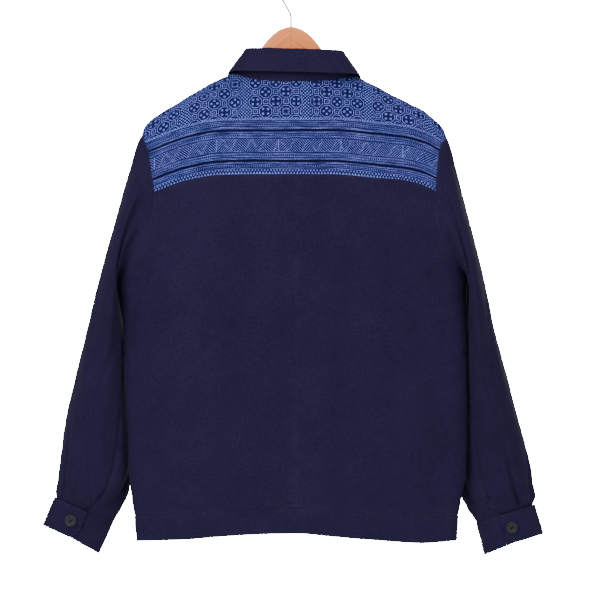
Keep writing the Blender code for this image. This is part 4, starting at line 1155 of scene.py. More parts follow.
SLEEVE_ROWS = np.concatenate([
    np.linspace(0, 0.6, 10)[:-1],
    np.linspace(0.6, 12.4, 118)[:-1],
    np.linspace(12.4, 14, 26),
])


def sleeve_detail(side, row, turn):
    """Extra depth of a sleeve's creases, in rings and turns."""
    total = np.zeros(np.broadcast(row, turn).shape)
    for c in SLEEVE_CREASES:
        if c.side not in (0, side):
            continue
        along = (row - c.row_top) / (c.row_end - c.row_top)
        off = (turn - c.turn_top - along * (c.turn_end - c.turn_top) + 0.5) % 1 - 0.5
        off = off + 0.25 * c.width * np.sin(6 * along + 40 * c.width)
        ends = np.exp(-np.maximum(np.abs(along - 0.5) - 0.30, 0) ** 2 / 0.025)
        trough = np.exp(-((off / c.width) ** 2)) - 0.5 * np.exp(-(((off - 2 * c.width) / c.width) ** 2))
        total = total + c.depth * ends * trough
    return total


def make_sleeve(side, name):
    arm = ARMHOLES[side]
    count = len(arm["point"])
    row, phase = np.meshgrid(SLEEVE_ROWS, np.linspace(0, 1, count), indexing="ij")
    turn = phase + seam_turn(row)
    points, middle = ellipse(side, row, turn)
    first, _ = ellipse(side, np.zeros(count), phase[0])
    fade = np.clip(1 - row / ARMHOLE_FADE, 0, 1)[..., None] ** 2
    points = points + fade * (arm["point"] - first)[None]
    inward = unit(middle - points)
    inward = unit(inward * (1 - fade) + fade * unit(middle.mean(1, keepdims=True) - points))
    start = np.clip(row / 0.5, 0, 1)
    last = row.max()
    end = np.clip((last - row) / 0.8, 0, 1) ** 0.7
    flat_points = points.reshape(-1, 3)
    crumple = 0.9 * ripples(flat_points * [1, 1, 0.35], 60, 51 + side)
    crumple = crumple + 0.35 * ripples(flat_points, 24, 53 + side)
    crumple = (crumple + 0.14 * ripples(flat_points, 10, 57)).reshape(row.shape)
    gather = ripples(flat_points * [1, 1, 0.1], 17, 59 + side).reshape(row.shape)
    gather = np.exp(-(last - row) / 0.7) * gather
    cap = np.exp(-row / 0.5) * ripples(flat_points * [1, 1, 1], 18, 61).reshape(row.shape)
    depth = sleeve_folds(row, turn % 1) + sleeve_detail(side, row, turn % 1)
    depth = depth + crumple + 1.1 * gather + 0.7 * cap
    near_seam = np.exp(-(((row - 0.9) / 0.8) ** 2)) * np.exp(-(((turn % 1 - 0.22) / 0.13) ** 2))
    depth = depth + ARMHOLE_SINK * near_seam
    points = points + inward * (depth * start * end)[..., None]
    press = np.exp(-(((row - 4.4) / 2.0) ** 2)) * np.exp(-(((turn % 1 - 0.93) / 0.06) ** 2))
    points[..., 0] -= side * SIDE_PRESS * press
    out = unit(np.cross(np.gradient(points, axis=1), np.gradient(points, axis=0)))
    out = out * (1 if ((points - middle) * out).sum(-1).mean() > 0 else -1)
    along, down = lengths(points, 1), lengths(points, 0)
    near = np.minimum.reduce([along, along[:, -1:] - along, down])
    low = np.clip((row - 7.5) / 4.5, 0, 1)
    outer = points - out * ((0.8 + 2.2 * low) * np.exp(-((near / (2.6 + 1.6 * low)) ** 2)))[..., None]
    inner = outer - out * LAYER
    uv = np.stack([along - along[:, -1:] / 2, down], -1).reshape(-1, 2)
    wear = np.exp(-near.reshape(-1) / 4.0)
    tucked = outer[0] - unit(outer[4] - outer[0]) * SEAM_TUCK - arm["out"] * SEAM_TUCK
    into_cuff = outer[-1] + np.array(cuff_frame(side).down_way) * CUFF_TUCK - out[-1] * DOUBLE
    outer_all = np.concatenate([tucked[None], outer, into_cuff[None]]).reshape(-1, 3)
    tucked_in, in_cuff = tucked - arm["out"] * LAYER, into_cuff - out[-1] * LAYER
    inner_all = np.concatenate([tucked_in[None], inner, in_cuff[None]]).reshape(-1, 3)
    uv = np.concatenate([uv[:count] - [0, SEAM_TUCK], uv, uv[-count:] + [0, CUFF_TUCK]])
    wear = np.concatenate([0 * wear[:count], wear, 0 * wear[:count]])
    piece = shell(name, outer_all, inner_all, grid_faces(row.shape[0] + 2, count), uv, wear)
    long, wide = float(down[-1].mean()), float(along[:, -1].max())
    print(name, "length:", round(long), "mm; widest round:", round(wide), "mm")
    return Strip(piece, outer, out, along, down)


sleeves = {side: make_sleeve(side, f"sleeve_{word}_cloth") for side, word in ((-1, "left"), (1, "right"))}

# %% [markdown]
# ## Cuffs
# A cuff is a doubled band that laps over itself. Its outer end is a tab with one clipped corner
# and the button; it comes round from the outer side of the arm.

# %%
def make_cuff(side, name):
    strap = STRAPS[side]
    turns = strap.start + (strap.end - strap.start) * strip_rows(150, 300)
    from_end = (strap.end - turns) * 2 * math.pi * cuff_frame(side).half_width
    clip = np.clip(1 - from_end / TAB_CLIP, 0, 1) * TAB_CLIP_RISE
    share = strip_rows(16, CUFF_HEIGHT)[:, None]
    top = 2 * GAP
    down = top + (CUFF_HEIGHT - top - clip) * share
    points = cuff_point(side, np.broadcast_to(turns, down.shape), down)
    centre = np.array(cuff_frame(side).middle)
    return strip(name, points, grid_out(points, centre), groove=3.6)


cuffs = {side: make_cuff(side, f"cuff_{word}_cloth") for side, word in ((-1, "left"), (1, "right"))}

# %% [markdown]
# ## Collar
# A shirt collar has two parts: a stand that is sewn to the neck, and a fall that turns over its
# top edge. Seen from behind, a dark strip of the stand shows below the fall.

# %%
def make_stand():
    place = neck_places(-1, 1)
    x, over = neck_edge(place)
    base, base_out = yoke_surface(x, over)
    top = collar_line("top", place)
    base = base - unit(top - base) * 2.5 - base_out * 1.2
    share = strip_rows(12, 40)[:, None, None]
    points = base * (1 - share) + top * share
    out = outward_of(top)[None] * np.ones((len(share), 1, 1))
    return strip("collar_stand_cloth", points, out, groove=3.0, grooved=(1, 0, 0, 0))


def make_fall():
    place = neck_places(-1, 1)
    top, edge = collar_line("top", place), collar_line("edge", place)
    out = outward_of(top)
    up = np.array([0, 0, 1.0])
    middle = top + out * (FALL_ROUND - DOUBLE) + up * GAP
    rows, ways = [], []
    for angle in np.radians(np.linspace(180, 20, 15)):
        ray = math.cos(angle) * out + math.sin(angle) * up
        rows.append(middle + FALL_ROUND * ray)
        ways.append(ray)
    start = rows[-1]
    face = unit(np.cross(np.gradient(edge, axis=0), edge - start))
    face = face * np.where((face * out).sum(1) < 0, -1, 1)[:, None]
    for share in strip_rows(20, 42)[4:]:
        rows.append(start + (edge - start) * share + face * FALL_BULGE * math.sin(math.pi * share))
        blend = min(share / 0.15, 1)
        ways.append(unit(ways[14] * (1 - blend) + face * blend))
    return strip("collar_fall_cloth", np.array(rows), unit(np.array(ways)), groove=4.5, grooved=(0, 1, 1, 1))


stand = make_stand()
fall = make_fall()

# %% [markdown]
# ## Stitches
# Stitched lines hold the doubled pieces flat. Each stitch is a short thread that dips at both
# ends. A texture could draw a dashed line, but real small threads catch the light at the edge.

# %%
STITCH, STITCH_GAP, THREAD = 2.6, 0.9, 0.24


def thread_mesh(name, lines):
    """All stitches of some sewn lines as one mesh. A line is its points and the cloth's normals."""
    arch = np.array([-0.20, 0.14, 0.20, 0.14, -0.20])
    sides = 5
    rings = []
    for points, out in lines:
        long = np.concatenate([[0], np.cumsum(np.linalg.norm(np.diff(points, axis=0), axis=1))])
        starts = np.arange(0.5, long[-1] - STITCH, STITCH + STITCH_GAP)
        for s in starts:
            at = s + STITCH * np.linspace(0, 1, 5)
            mid = np.stack([np.interp(at, long, points[:, k]) for k in range(3)], -1)
            up = unit(np.stack([np.interp(at, long, out[:, k]) for k in range(3)], -1))
            mid = mid + up * arch[:, None]
            way = unit(np.gradient(mid, axis=0))
            side = unit(np.cross(way, up))
            lift = np.cross(side, way)
            turns = np.linspace(0, 2 * math.pi, sides, endpoint=False)
            size = THREAD * np.array([0.55, 1, 1, 1, 0.55])
            ring = mid[:, None] + size[:, None, None] * (
                np.cos(turns)[None, :, None] * side[:, None] + np.sin(turns)[None, :, None] * lift[:, None])
            rings.append(ring)
    rings = np.array(rings)
    count = len(rings)
    points = rings.reshape(-1, 3)
    faces = []
    for i in range(4):
        for j in range(sides):
            k = (j + 1) % sides
            faces.append((i * sides + j, i * sides + k, (i + 1) * sides + k, (i + 1) * sides + j))
    one = np.array(faces)
    every = (one[None] + (np.arange(count) * 5 * sides)[:, None, None]).reshape(-1, 4).tolist()
    ends = [[n * 5 * sides + j for j in range(sides)][::-1] for n in range(count)]
    ends += [[n * 5 * sides + 4 * sides + j for j in range(sides)] for n in range(count)]
    mesh = bpy.data.meshes.new(name)
    mesh.from_pydata((points * MM).tolist(), [], every + ends)
    mesh.shade_smooth()
    obj = bpy.data.objects.new(name, mesh)
    bpy.context.scene.collection.objects.link(obj)
    print(name, count, "stitches")
    return obj


def strip_line(made, across=None, along=None, start=None, stop=None):
    """A line on a strip, either lengthwise at a distance down it or crosswise at a distance along it."""
    points, out, long, down = made.points, made.out, made.along, made.down
    if across is not None:
        line, ways = [], []
        for c in range(points.shape[1]):
            at = across if across >= 0 else down[-1, c] + across
            line.append([np.interp(at, down[:, c], points[:, c, k]) for k in range(3)])
            ways.append([np.interp(at, down[:, c], out[:, c, k]) for k in range(3)])
        line, ways, far = np.array(line), np.array(ways), long[len(long) // 2]
    else:
        line, ways = [], []
        for r in range(points.shape[0]):
            at = along if along >= 0 else long[r, -1] + along
            line.append([np.interp(at, long[r], points[r, :, k]) for k in range(3)])
            ways.append([np.interp(at, long[r], out[r, :, k]) for k in range(3)])
        line, ways, far = np.array(line), np.array(ways), down[:, 0]
    low = start or 0
    high = far[-1] - (stop or 0)
    keep = (far >= low) & (far <= high)
    return line[keep], ways[keep]


lines = [strip_line(hem, across=-4.5) for hem in (hem_back, hem_left, hem_right)]
for side in (-1, 1):
    cuff = cuffs[side]
    lines.append(strip_line(cuff, across=3.6, start=100, stop=3.6))
    lines.append(strip_line(cuff, across=-3.6, start=60, stop=3.6))
    lines.append(strip_line(cuff, along=-3.6, start=3.6, stop=3.6))
lines.append(strip_line(fall, across=-4.5, start=4.5, stop=4.5))
lines.append(strip_line(fall, along=4.5, start=12, stop=4.5))
lines.append(strip_line(fall, along=-4.5, start=12, stop=4.5))
lines.append(strip_line(placket, along=5.0, start=2, stop=2))
lines.append(strip_line(placket, along=-5.0, start=2, stop=2))
threads = thread_mesh("stitches", lines)

# %% [markdown]
# ## Buttons
# A two-hole button is turned on a lathe: a dished face inside a raised rim. Thread goes through
# its two holes and over the bridge between them.

# %%
HOLE_RADIUS, HOLE_APART, TIE_RADIUS = 1.15, 3.4, 0.22
FRONT_BUTTON_DROPS = (262, 350, 438, 526, 614, 702, 790)
# Radius and height round the turned button, from the middle of its back to the middle of its face.
BUTTON_PROFILE = (
    (0.0, 0.25), (7.4, 0.25), (8.3, 0.45), (8.95, 1.0), (9.2, 1.7), (9.0, 2.4), (8.5, 2.95),
    (7.7, 3.2), (6.9, 3.1), (6.3, 2.75), (5.6, 2.35), (4.6, 2.15), (0.0, 2.1),
)


def button_mesh(count=48):
    """One button at the origin, facing up."""
    build = bmesh.new()
    loops = []
    turns = [2 * math.pi * i / count for i in range(count)]
    for radius, height in BUTTON_PROFILE:
        if radius == 0:
            loops.append([build.verts.new((0, 0, height * MM))])
            continue
        ring = [(radius * MM * math.cos(a), radius * MM * math.sin(a), height * MM) for a in turns]
        loops.append([build.verts.new(place) for place in ring])
    for low, high in zip(loops, loops[1:]):
        for i in range(count):
            j = (i + 1) % count
            corners = [low[i % len(low)], low[j % len(low)], high[j % len(high)], high[i % len(high)]]
            build.faces.new(list(dict.fromkeys(corners)))
    bmesh.ops.recalc_face_normals(build, faces=build.faces)
    mesh = bpy.data.meshes.new("button")
    build.to_mesh(mesh)
    build.free()
    solid = bpy.data.objects.new("button_blank", mesh)
    bpy.context.scene.collection.objects.link(solid)
    for way in (-1, 1):
        bpy.ops.mesh.primitive_cylinder_add(vertices=20, radius=HOLE_RADIUS * MM, depth=12 * MM,
                                            location=(way * HOLE_APART / 2 * MM, 0, 0))
        cutter = bpy.context.object
        cut = solid.modifiers.new("hole", "BOOLEAN")
        cut.operation = "DIFFERENCE"
        cut.object = cutter
        graph = bpy.context.evaluated_depsgraph_get()
        cut_mesh = bpy.data.meshes.new_from_object(solid.evaluated_get(graph))
        solid.modifiers.clear()
        solid.data = cut_mesh
        bpy.data.objects.remove(cutter)
    made = solid.data
    bpy.data.objects.remove(solid)
    made.shade_smooth()
    made.set_sharp_from_angle(angle=math.radians(40))
    return made


def tie_points():
    """Three loops of thread over the bridge between the holes."""
    lines = []
    for off in (-0.45, 0.0, 0.45):
        x = np.linspace(-HOLE_APART / 2, HOLE_APART / 2, 9)
        z = 2.1 + 0.35 * np.sqrt(np.clip(1 - (x / (HOLE_APART / 2)) ** 2, 0, 1)) - 0.6 * (np.abs(x) > 1.6)
        lines.append(np.stack([x, off + 0 * x, z], -1))
    return lines


blank = button_mesh()


def place_button(name, seat, out, turn):
    facing = Vector(out).to_track_quat("Z", "Y").to_matrix() @ Matrix.Rotation(turn, 3, "Z")
    matrix = Matrix.Translation(Vector(seat) * MM) @ facing.to_4x4()
    button = bpy.data.objects.new(name, blank.copy())
    button.data.transform(matrix)
    bpy.context.scene.collection.objects.link(button)
    ties = [np.array([matrix @ (Vector(p) * MM) for p in line]) / MM for line in tie_points()]
    return button, ties


buttons, ties = [], []
for number, drop in enumerate(FRONT_BUTTON_DROPS, 1):
    girth = np.array([centre_girth(CENTRE_BACK, 1, -1)])
    point, out = panel_map(girth, np.array([float(drop)]))
    made, loops = place_button(f"front_button_{number}_horn", point[0] + out[0] * 0.4, out[0], math.pi / 2)
    buttons.append((made, f"front_button_{number}"))
    ties += loops
for side, word in ((-1, "left"), (1, "right")):
    turn = STRAPS[side].button
    hold = cuff_frame(side)
    angle = 2 * math.pi * turn
    seat = cuff_point(side, np.array([turn]), np.array([CUFF_HEIGHT / 2]), 0.4)[0]
    out = Vector(hold.out_way) * (math.cos(angle) / hold.half_width)
    out += Vector((0, -math.sin(angle) / CUFF_HALF_DEPTH, 0))
    made, loops = place_button(f"cuff_button_{word}_horn", seat, out.normalized(), math.radians(40))
    buttons.append((made, f"cuff_button_{word}"))
    ties += loops


def tube_mesh(name, lines, radius, sides=7):
    """Round tubes along lines of points, as one mesh."""
    verts, faces = [], []
    for line in lines:
        line = np.asarray(line, float)
        way = unit(np.gradient(line, axis=0))
        guess = np.array([0.0, 1.0, 0.0]) if abs(way[0] @ [0, 1, 0]) < 0.9 else np.array([1.0, 0, 0])
        side = unit(np.cross(way, guess))
        lift = np.cross(side, way)
        base = len(verts)
        for p, s, u in zip(line, side, lift):
            for a in np.linspace(0, 2 * math.pi, sides, endpoint=False):
                verts.append((p + radius * (math.cos(a) * s + math.sin(a) * u)) * MM)
        for i in range(len(line) - 1):
            for j in range(sides):
                k = (j + 1) % sides
                low, high = base + i * sides, base + (i + 1) * sides
                faces.append((low + j, low + k, high + k, high + j))
        faces.append([base + j for j in range(sides)][::-1])
        faces.append([base + (len(line) - 1) * sides + j for j in range(sides)])
    mesh = bpy.data.meshes.new(name)
    mesh.from_pydata([tuple(v) for v in verts], [], faces)
    mesh.shade_smooth()
    obj = bpy.data.objects.new(name, mesh)
    bpy.context.scene.collection.objects.link(obj)
    return obj


button_thread = tube_mesh("button_thread", ties, TIE_RADIUS)
print("buttons:", len(buttons), "thread loops:", len(ties))

# %% [markdown]
# ## Hanger and hook
# The hanger is sawn from board, rounded along its edges, and joined in the middle under a round
# head. Its hook is bent wire that goes into the head.

# %%
HANGER_HALF_THICK, HANGER_REACH, HANGER_TIP, HANGER_EASE, HANGER_DIP = 6.0, 202.0, 12.0, 1.1, 4.0
HANGER_DIP_HALF, HANGER_DIP_FADE = 98.0, 27.0
HANGER_BAR, HANGER_TAPER, WALL = 38.0, 14.0, 1.5
ARCH_HALF, ARCH_DROP, ARCH_CURVE = 60.0, 147.0, 0.0035
HEAD_REACH, HEAD_TOP, HEAD_CURVE = 58.0, 80.5, 0.0160
WIRE_RADIUS, HOOK_INNER_RADIUS, STEM_KINK_DROP, STEM_DEPTH = 1.6, 19.5, 63.0, 26.0


def make_hanger():
    head = np.linspace(0, HEAD_REACH, 30)
    arm = np.linspace(HEAD_REACH + 2, HANGER_REACH - HANGER_TIP, 50)
    tip = HANGER_REACH - HANGER_TIP * (1 - np.sin(np.linspace(0.08, 0.97, 12) * math.pi / 2))
    half = np.concatenate([head, arm, tip])
    stations = np.concatenate([-half[:0:-1], half])
    size = np.abs(stations)
    dip = HANGER_DIP * np.clip((HANGER_DIP_HALF - size) / HANGER_DIP_FADE + 1, 0, 1)
    dome = HEAD_TOP + HEAD_CURVE * stations**2
    top = np.minimum(ridge_drop(stations) + WALL + GAP + HANGER_EASE + dip, dome)
    base = ridge_drop(stations) + HANGER_BAR - HANGER_TAPER * size / HANGER_REACH
    low = np.where(size < ARCH_HALF, np.maximum(base, ARCH_DROP + ARCH_CURVE * stations**2), base)
    beyond = np.clip((size - (HANGER_REACH - HANGER_TIP)) / HANGER_TIP, 0, 1)
    round_off = np.sqrt(1 - beyond**2)
    middle, tall = (top + low) / 2, (low - top) / 2 * round_off
    thick = HANGER_HALF_THICK * (0.35 + 0.65 * round_off)
    angles = np.radians(np.linspace(0, 360, 40, endpoint=False))
    loops = []
    for x, m, t, h in zip(stations, middle, tall, thick):
        edge = min(h, t)
        y = np.sign(np.cos(angles)) * (h - edge) * (np.abs(np.cos(angles)) > 1e-6) + edge * np.cos(angles)
        z = np.sign(np.sin(angles)) * (t - edge) * (np.abs(np.sin(angles)) > 1e-6) + edge * np.sin(angles)
        loops.append(np.stack([np.full(len(y), x), y, z - m], -1))
    loops = np.array(loops)
    rows, sides = loops.shape[:2]
    faces = []
    for i in range(rows - 1):
        for j in range(sides):
            k = (j + 1) % sides
            faces.append((i * sides + j, i * sides + k, (i + 1) * sides + k, (i + 1) * sides + j))
    faces += [list(range(sides))[::-1], [(rows - 1) * sides + j for j in range(sides)]]
    mesh = bpy.data.meshes.new("hanger_board")
    mesh.from_pydata((loops.reshape(-1, 3) * MM).tolist(), [], faces)
    mesh.shade_smooth()
    mesh.set_sharp_from_angle(angle=math.radians(60))
    obj = bpy.data.objects.new("hanger_board", mesh)
    bpy.context.scene.collection.objects.link(obj)
    return obj


def make_hook():
    radius = HOOK_INNER_RADIUS + WIRE_RADIUS
    reach = STEM_KINK_DROP - HOOK_INNER_RADIUS
    start, end = -math.pi / 2 - math.acos(radius / reach), -2.15 * math.pi
    kink = -STEM_KINK_DROP
    points = [(0, 0, -HEAD_TOP - STEM_DEPTH + 4), (0, 0, -HEAD_TOP + 4), (0, 0, kink - 6)]
    points += [(0, 0, kink - 3), (-0.3, 0, kink - 0.6), (-1.1, 0, kink + 2.2)]
    for a in np.linspace(start, end, 90):
        points.append((radius * math.cos(a), 0, radius * math.sin(a) - HOOK_INNER_RADIUS))
    return tube_mesh("hook_wire_bent", [points], WIRE_RADIUS, 20)


hanger = make_hanger()
hook = make_hook()
print("hanger:", 2 * HANGER_REACH, "mm long; hook opening:", 2 * HOOK_INNER_RADIUS, "mm")

# %% [markdown]
# ## Shaders
# Cloth, wood and horn get their look from small rules rather than from pictures. A shader value
# is wrapped so that the rules read as plain sums.

# %%
class Field:
    """A shader value that takes part in Python sums."""

    def __init__(self, tree, socket):
        self.tree = tree
        self.socket = socket

    def node(self, kind, settings=None, **values):
        return add_node(self.tree, kind, settings, **values)

    def maths(self, how, *others):
        made = self.tree.nodes.new("ShaderNodeMath")
        made.operation = how
        for slot, value in zip(made.inputs, (self, *others)):
            feed(self.tree, slot, value)
        return Field(self.tree, made.outputs[0])

    def __add__(self, other):
        return self.maths("ADD", other)

    def __mul__(self, other):
        return self.maths("MULTIPLY", other)

    def __sub__(self, other):
        return self.maths("SUBTRACT", other)

    def __rsub__(self, other):
        return self.maths("MULTIPLY_ADD", -1.0, other)

    def __truediv__(self, other):
        return self.maths("DIVIDE", other)

    def __neg__(self):
        return self.maths("MULTIPLY", -1.0)

    def __abs__(self):
        return self.maths("ABSOLUTE")

    __radd__ = __add__
    __rmul__ = __mul__

    def fract(self):
        return self.maths("FRACT")

    def floor(self):
        return self.maths("FLOOR")

    def sine(self):
        return self.maths("SINE")

    def least(self, other):
        return self.maths("MINIMUM", other)

    def most(self, other):
        return self.maths("MAXIMUM", other)

    def above(self, edge, soft=0.0):
        """1 above the edge and 0 below it, over a soft distance."""
        if not soft:
            return self.maths("GREATER_THAN", edge)
        made = self.node("ShaderNodeMapRange", {"interpolation_type": "SMOOTHSTEP"}, Value=self)
        feed(self.tree, made.inputs["From Min"], edge - soft)
        feed(self.tree, made.inputs["From Max"], edge + soft)
        return Field(self.tree, made.outputs[0])

    def below(self, edge, soft=0.0):
        return 1.0 - self.above(edge, soft)

    def near(self, centre, half, soft=0.15):
        """1 within half of a centre."""
        return abs(self - centre).below(half, soft)

    def centred(self, period, shift=0.0):
        """Distance to the nearest of evenly spaced places, with its sign."""
        return ((self / period + (0.5 + shift)).fract() - 0.5) * period

    def pick(self, low, high):
        """low where this is 0 and high where it is 1."""
        return low + (high - low) * self


print("sums that a shader value knows:", [n for n in vars(Field) if not n.startswith("_")])

# %% [markdown]
# ## Materials as small rules
# One method makes any node and joins its inputs. A material starts as a plain shader with named
# rules for its colour, roughness and bump, because that keeps each finish to a few lines.

# %%
def feed(tree, slot, value):
    if isinstance(value, Field):
        tree.links.new(value.socket, slot)
    elif isinstance(value, bpy.types.NodeSocket):
        tree.links.new(value, slot)
    elif value is not None:
        slot.default_value = value


def add_node(tree, kind, settings=None, **values):
    made = tree.nodes.new(kind)
    for key, value in (settings or {}).items():
        setattr(made, key, value)
    for key, value in values.items():
        feed(tree, made.inputs[key], value)
    return made


def mix(tree, low, high, share):
    """A colour between two others."""
    made = tree.nodes.new("ShaderNodeMix")
    made.data_type = "RGBA"
    feed(tree, made.inputs[0], share)
    feed(tree, made.inputs[6], low)
    feed(tree, made.inputs[7], high)
    return made.outputs[2]


class Look:
    """A material with a plain shader, and the fields that its rules start from."""

    def __init__(self, name, roughness=0.8, metallic=0.0):
        self.made = bpy.data.materials.new(name)
        self.made.use_nodes = True
        self.tree = self.made.node_tree
        self.shader = self.tree.nodes["Principled BSDF"]
        self.shader.inputs["Roughness"].default_value = roughness
        self.shader.inputs["Metallic"].default_value = metallic

    def plane(self, name="Cloth"):
        """Flat-pattern place in millimetres."""
        at = add_node(self.tree, "ShaderNodeUVMap", {"uv_map": name})
        parts = add_node(self.tree, "ShaderNodeSeparateXYZ", Vector=at.outputs[0])
        return Field(self.tree, parts.outputs[0]) * 1000.0, Field(self.tree, parts.outputs[1]) * 1000.0

    def space(self):
        """Place on the object, in metres."""
        return add_node(self.tree, "ShaderNodeTexCoord").outputs["Object"]

    def wear(self):
        made = add_node(self.tree, "ShaderNodeAttribute", {"attribute_name": "wear"})
        return Field(self.tree, made.outputs["Fac"])

    def point(self, x, y, z=0.0):
        return add_node(self.tree, "ShaderNodeCombineXYZ", X=x, Y=y, Z=z).outputs[0]

    def noise(self, vector, scale, detail=2.0, roughness=0.5):
        made = add_node(self.tree, "ShaderNodeTexNoise",
                        Vector=vector, Scale=scale, Detail=detail, Roughness=roughness)
        return Field(self.tree, made.outputs["Fac"])

    def colour(self, value):
        feed(self.tree, self.shader.inputs["Base Color"], value)

    def rough(self, value):
        feed(self.tree, self.shader.inputs["Roughness"], value)

    def bump(self, height, distance, strength=1.0):
        made = add_node(self.tree, "ShaderNodeBump", Height=height)
        made.inputs["Distance"].default_value = distance
        made.inputs["Strength"].default_value = strength
        feed(self.tree, self.shader.inputs["Normal"], made.outputs[0])


print("rules of a material:", [n for n in vars(Look) if not n.startswith("_")])

# %% [markdown]
# ## Navy cotton
# The cotton is a plain weave with thick and thin threads. Indigo sinks in unevenly, so the tone
# drifts, and it rubs off at the edges. A woven mesh would be far too heavy for that.

# %%
def weave(look, u, v, pitch):
    """Height of a plain weave: over and under, with threads of uneven thickness."""
    slub_u = look.noise(look.point(u * 0.06, v * 1.6), 1.0, 3.0)
    slub_v = look.noise(look.point(u * 1.6, v * 0.06), 1.0, 3.0)
    warp = (u * (2 * math.pi / pitch)).sine() * (v * (math.pi / pitch)).sine()
    return warp * 0.3 + slub_u * 0.8 + slub_v * 0.8, slub_u, slub_v


def navy_cotton(name):
    """Deep indigo cotton: paler where it rubs, with slubs along and across."""
    look = Look(name, 0.88)
    u, v = look.plane()
    height, slub_u, slub_v = weave(look, u, v, 1.1)
    cloud = look.noise(look.space(), 9.0, 3.0)
    patch = look.noise(look.space(), 34.0, 3.0)
    fleck = look.noise(look.point(u * 0.35, v * 0.35), 1.0, 4.0).above(0.70, 0.04)
    mottle = look.noise(look.point(u * 0.22, v * 0.26 + 4.0), 1.0, 3.0)
    tone = (slub_u + slub_v - 1.0) * 0.9 + (cloud - 0.5) * 0.45
    tone = tone + (patch - 0.5) * 0.35 + (mottle - 0.5) * 0.85 + 0.50
    base = mix(look.tree, (0.0062, 0.0043, 0.0200, 1), (0.0165, 0.0125, 0.0420, 1), tone.most(0.0).least(1.0))
    rubbed = look.wear() * 0.16 * (patch - 0.36).above(0.12, 0.14)
    worn = mix(look.tree, base, (0.030, 0.026, 0.062, 1), rubbed)
    flecked = mix(look.tree, worn, (0.034, 0.030, 0.066, 1), fleck * 0.35)
    look.colour(flecked)
    look.rough(0.80 + 0.14 * slub_u)
    look.shader.inputs["Sheen Weight"].default_value = 0.03
    look.shader.inputs["Sheen Roughness"].default_value = 0.5
    look.shader.inputs["Sheen Tint"].default_value = (0.55, 0.5, 0.8, 1)
    look.shader.inputs["Specular IOR Level"].default_value = 0.06
    look.bump(height, 0.00022, 0.7)
    return look.made


# %% [markdown]
# ## Wax-resist yoke
# On the real cloth the lines are drawn in wax and the cloth is dyed, so the lines stay pale. The
# drawing is built from the same repeats: rows of eight-sided cells with small squares between
# them, closer check columns every third cell, and long stripes with dots, slanting blocks and two
# navy lines above the seam. All sizes are in millimetres of flat cloth.

# %%
GROUND, GROUND_TEAL = (0.0008, 0.0015, 0.044, 1), (0.0008, 0.0034, 0.048, 1)
WAX_LINE, WAX_LINE_TEAL = (0.250, 0.275, 0.900, 1), (0.165, 0.310, 0.880, 1)
NAVY_DYE = (0.0012, 0.0016, 0.020, 1)
CELL, CELL_ROW, CELL_MIDDLE, FIRST_ROW, FIELD_START = 30.6, 14.8, -7.5, 94.0, 81.0
TOUCH = CELL / 2 / math.sqrt(2)
CHECK_COLUMN = CELL_MIDDLE + CELL
# Place, half width and strength of each dark line across the stripes.
DARK_LINES = (
    (8.9, 0.70, 1.0), (14.4, 0.65, 1.0), (16.6, 0.35, 0.6), (22.4, 0.35, 0.6), (24.4, 0.65, 1.0),
    (30.6, 0.35, 0.6), (32.2, 0.75, 1.0), (53.2, 0.75, 1.0), (55.2, 0.35, 0.6), (60.4, 0.65, 1.0),
    (62.4, 0.35, 0.6), (69.0, 0.35, 0.6), (71.2, 0.70, 1.0), (77.2, 0.65, 1.0), (79.8, 0.70, 1.0),
)
DOT_ROWS = (11.5, 27.8, 57.6, 74.2)
NAVY_LINES = (19.4, 65.4)
BLOCK_MIDDLE, BLOCK_HALF, BLOCK_LENGTH, PANEL_LENGTH = 42.9, 8.9, 43.0, 93.0
TOOTH, MIDDLE_TONE, INNER_TONE = 4.6, 0.015, 0.045


def eight_sided(x, y):
    """Distance from the middle of an eight-sided cell, measured to its flats."""
    return abs(x).most(abs(y)).most((abs(x) + abs(y)) * (1 / math.sqrt(2)))


def checks(u, v, pitch=2.15):
    """Small checks, as a value that is above 0 in every second one."""
    turn = math.pi / pitch
    return (u * turn).sine() * (v * turn).sine()


def length(x, y):
    return (x * x + y * y).maths("SQRT")


def cells(u, v):
    """Pale share of the field of cells, and where its check columns are."""
    up = (v - FIRST_ROW) * (CELL / 2 / CELL_ROW)
    along = u - CELL_MIDDLE
    ax, ay = along.centred(CELL), up.centred(CELL)
    bx, by = along.centred(CELL, 0.5), up.centred(CELL, 0.5)
    first, second = eight_sided(ax, ay), eight_sided(bx, by)
    size = first.least(second)
    other = (first - second).above(0.0)
    own_x, own_y = other.pick(ax, bx), other.pick(ay, by)
    kind = (((along - own_x) * 3 + (up - own_y) * 5) / (CELL * 3.5)).fract().above(0.5)
    x, y = abs(own_x), abs(own_y)
    inside = length(x, y).below(6.6, 0.3)
    leaf = kind.pick(length(x - 3.6, y - 3.6), length(x.most(y) - 4.5, x.least(y))).below(1.8, 0.35)
    arm = kind.pick(x.least(y), abs(x - y) * 0.75).below(0.65, 0.3) * inside
    middle = (INNER_TONE * (1.0 - arm)).most(leaf * 0.78)
    ring = size.near(9.15, 0.42, 0.2)
    line = size.near(7.80, 0.6, 0.2).most(size.above(9.8, 0.2))
    cell = ring.most(middle * (1.0 - line))
    square = abs(bx).most(abs(ay)).least(abs(ax).most(abs(by)))
    dot, rest = square.below(1.0, 0.25) * 0.5, square.above(1.0, 0.2) * MIDDLE_TONE
    small = square.near(3.3, 0.45, 0.2).most(dot).most(rest)
    pale = size.above(TOUCH + 0.1, 0.2).pick(cell, small)
    column = (u - CHECK_COLUMN).centred(3 * CELL)
    dense = abs(column).below(7.4, 0.3) * second.above(TOUCH, 0.2)
    return dense.pick(pale, checks(u, v, 2.5).above(0.26, 0.3)), dense


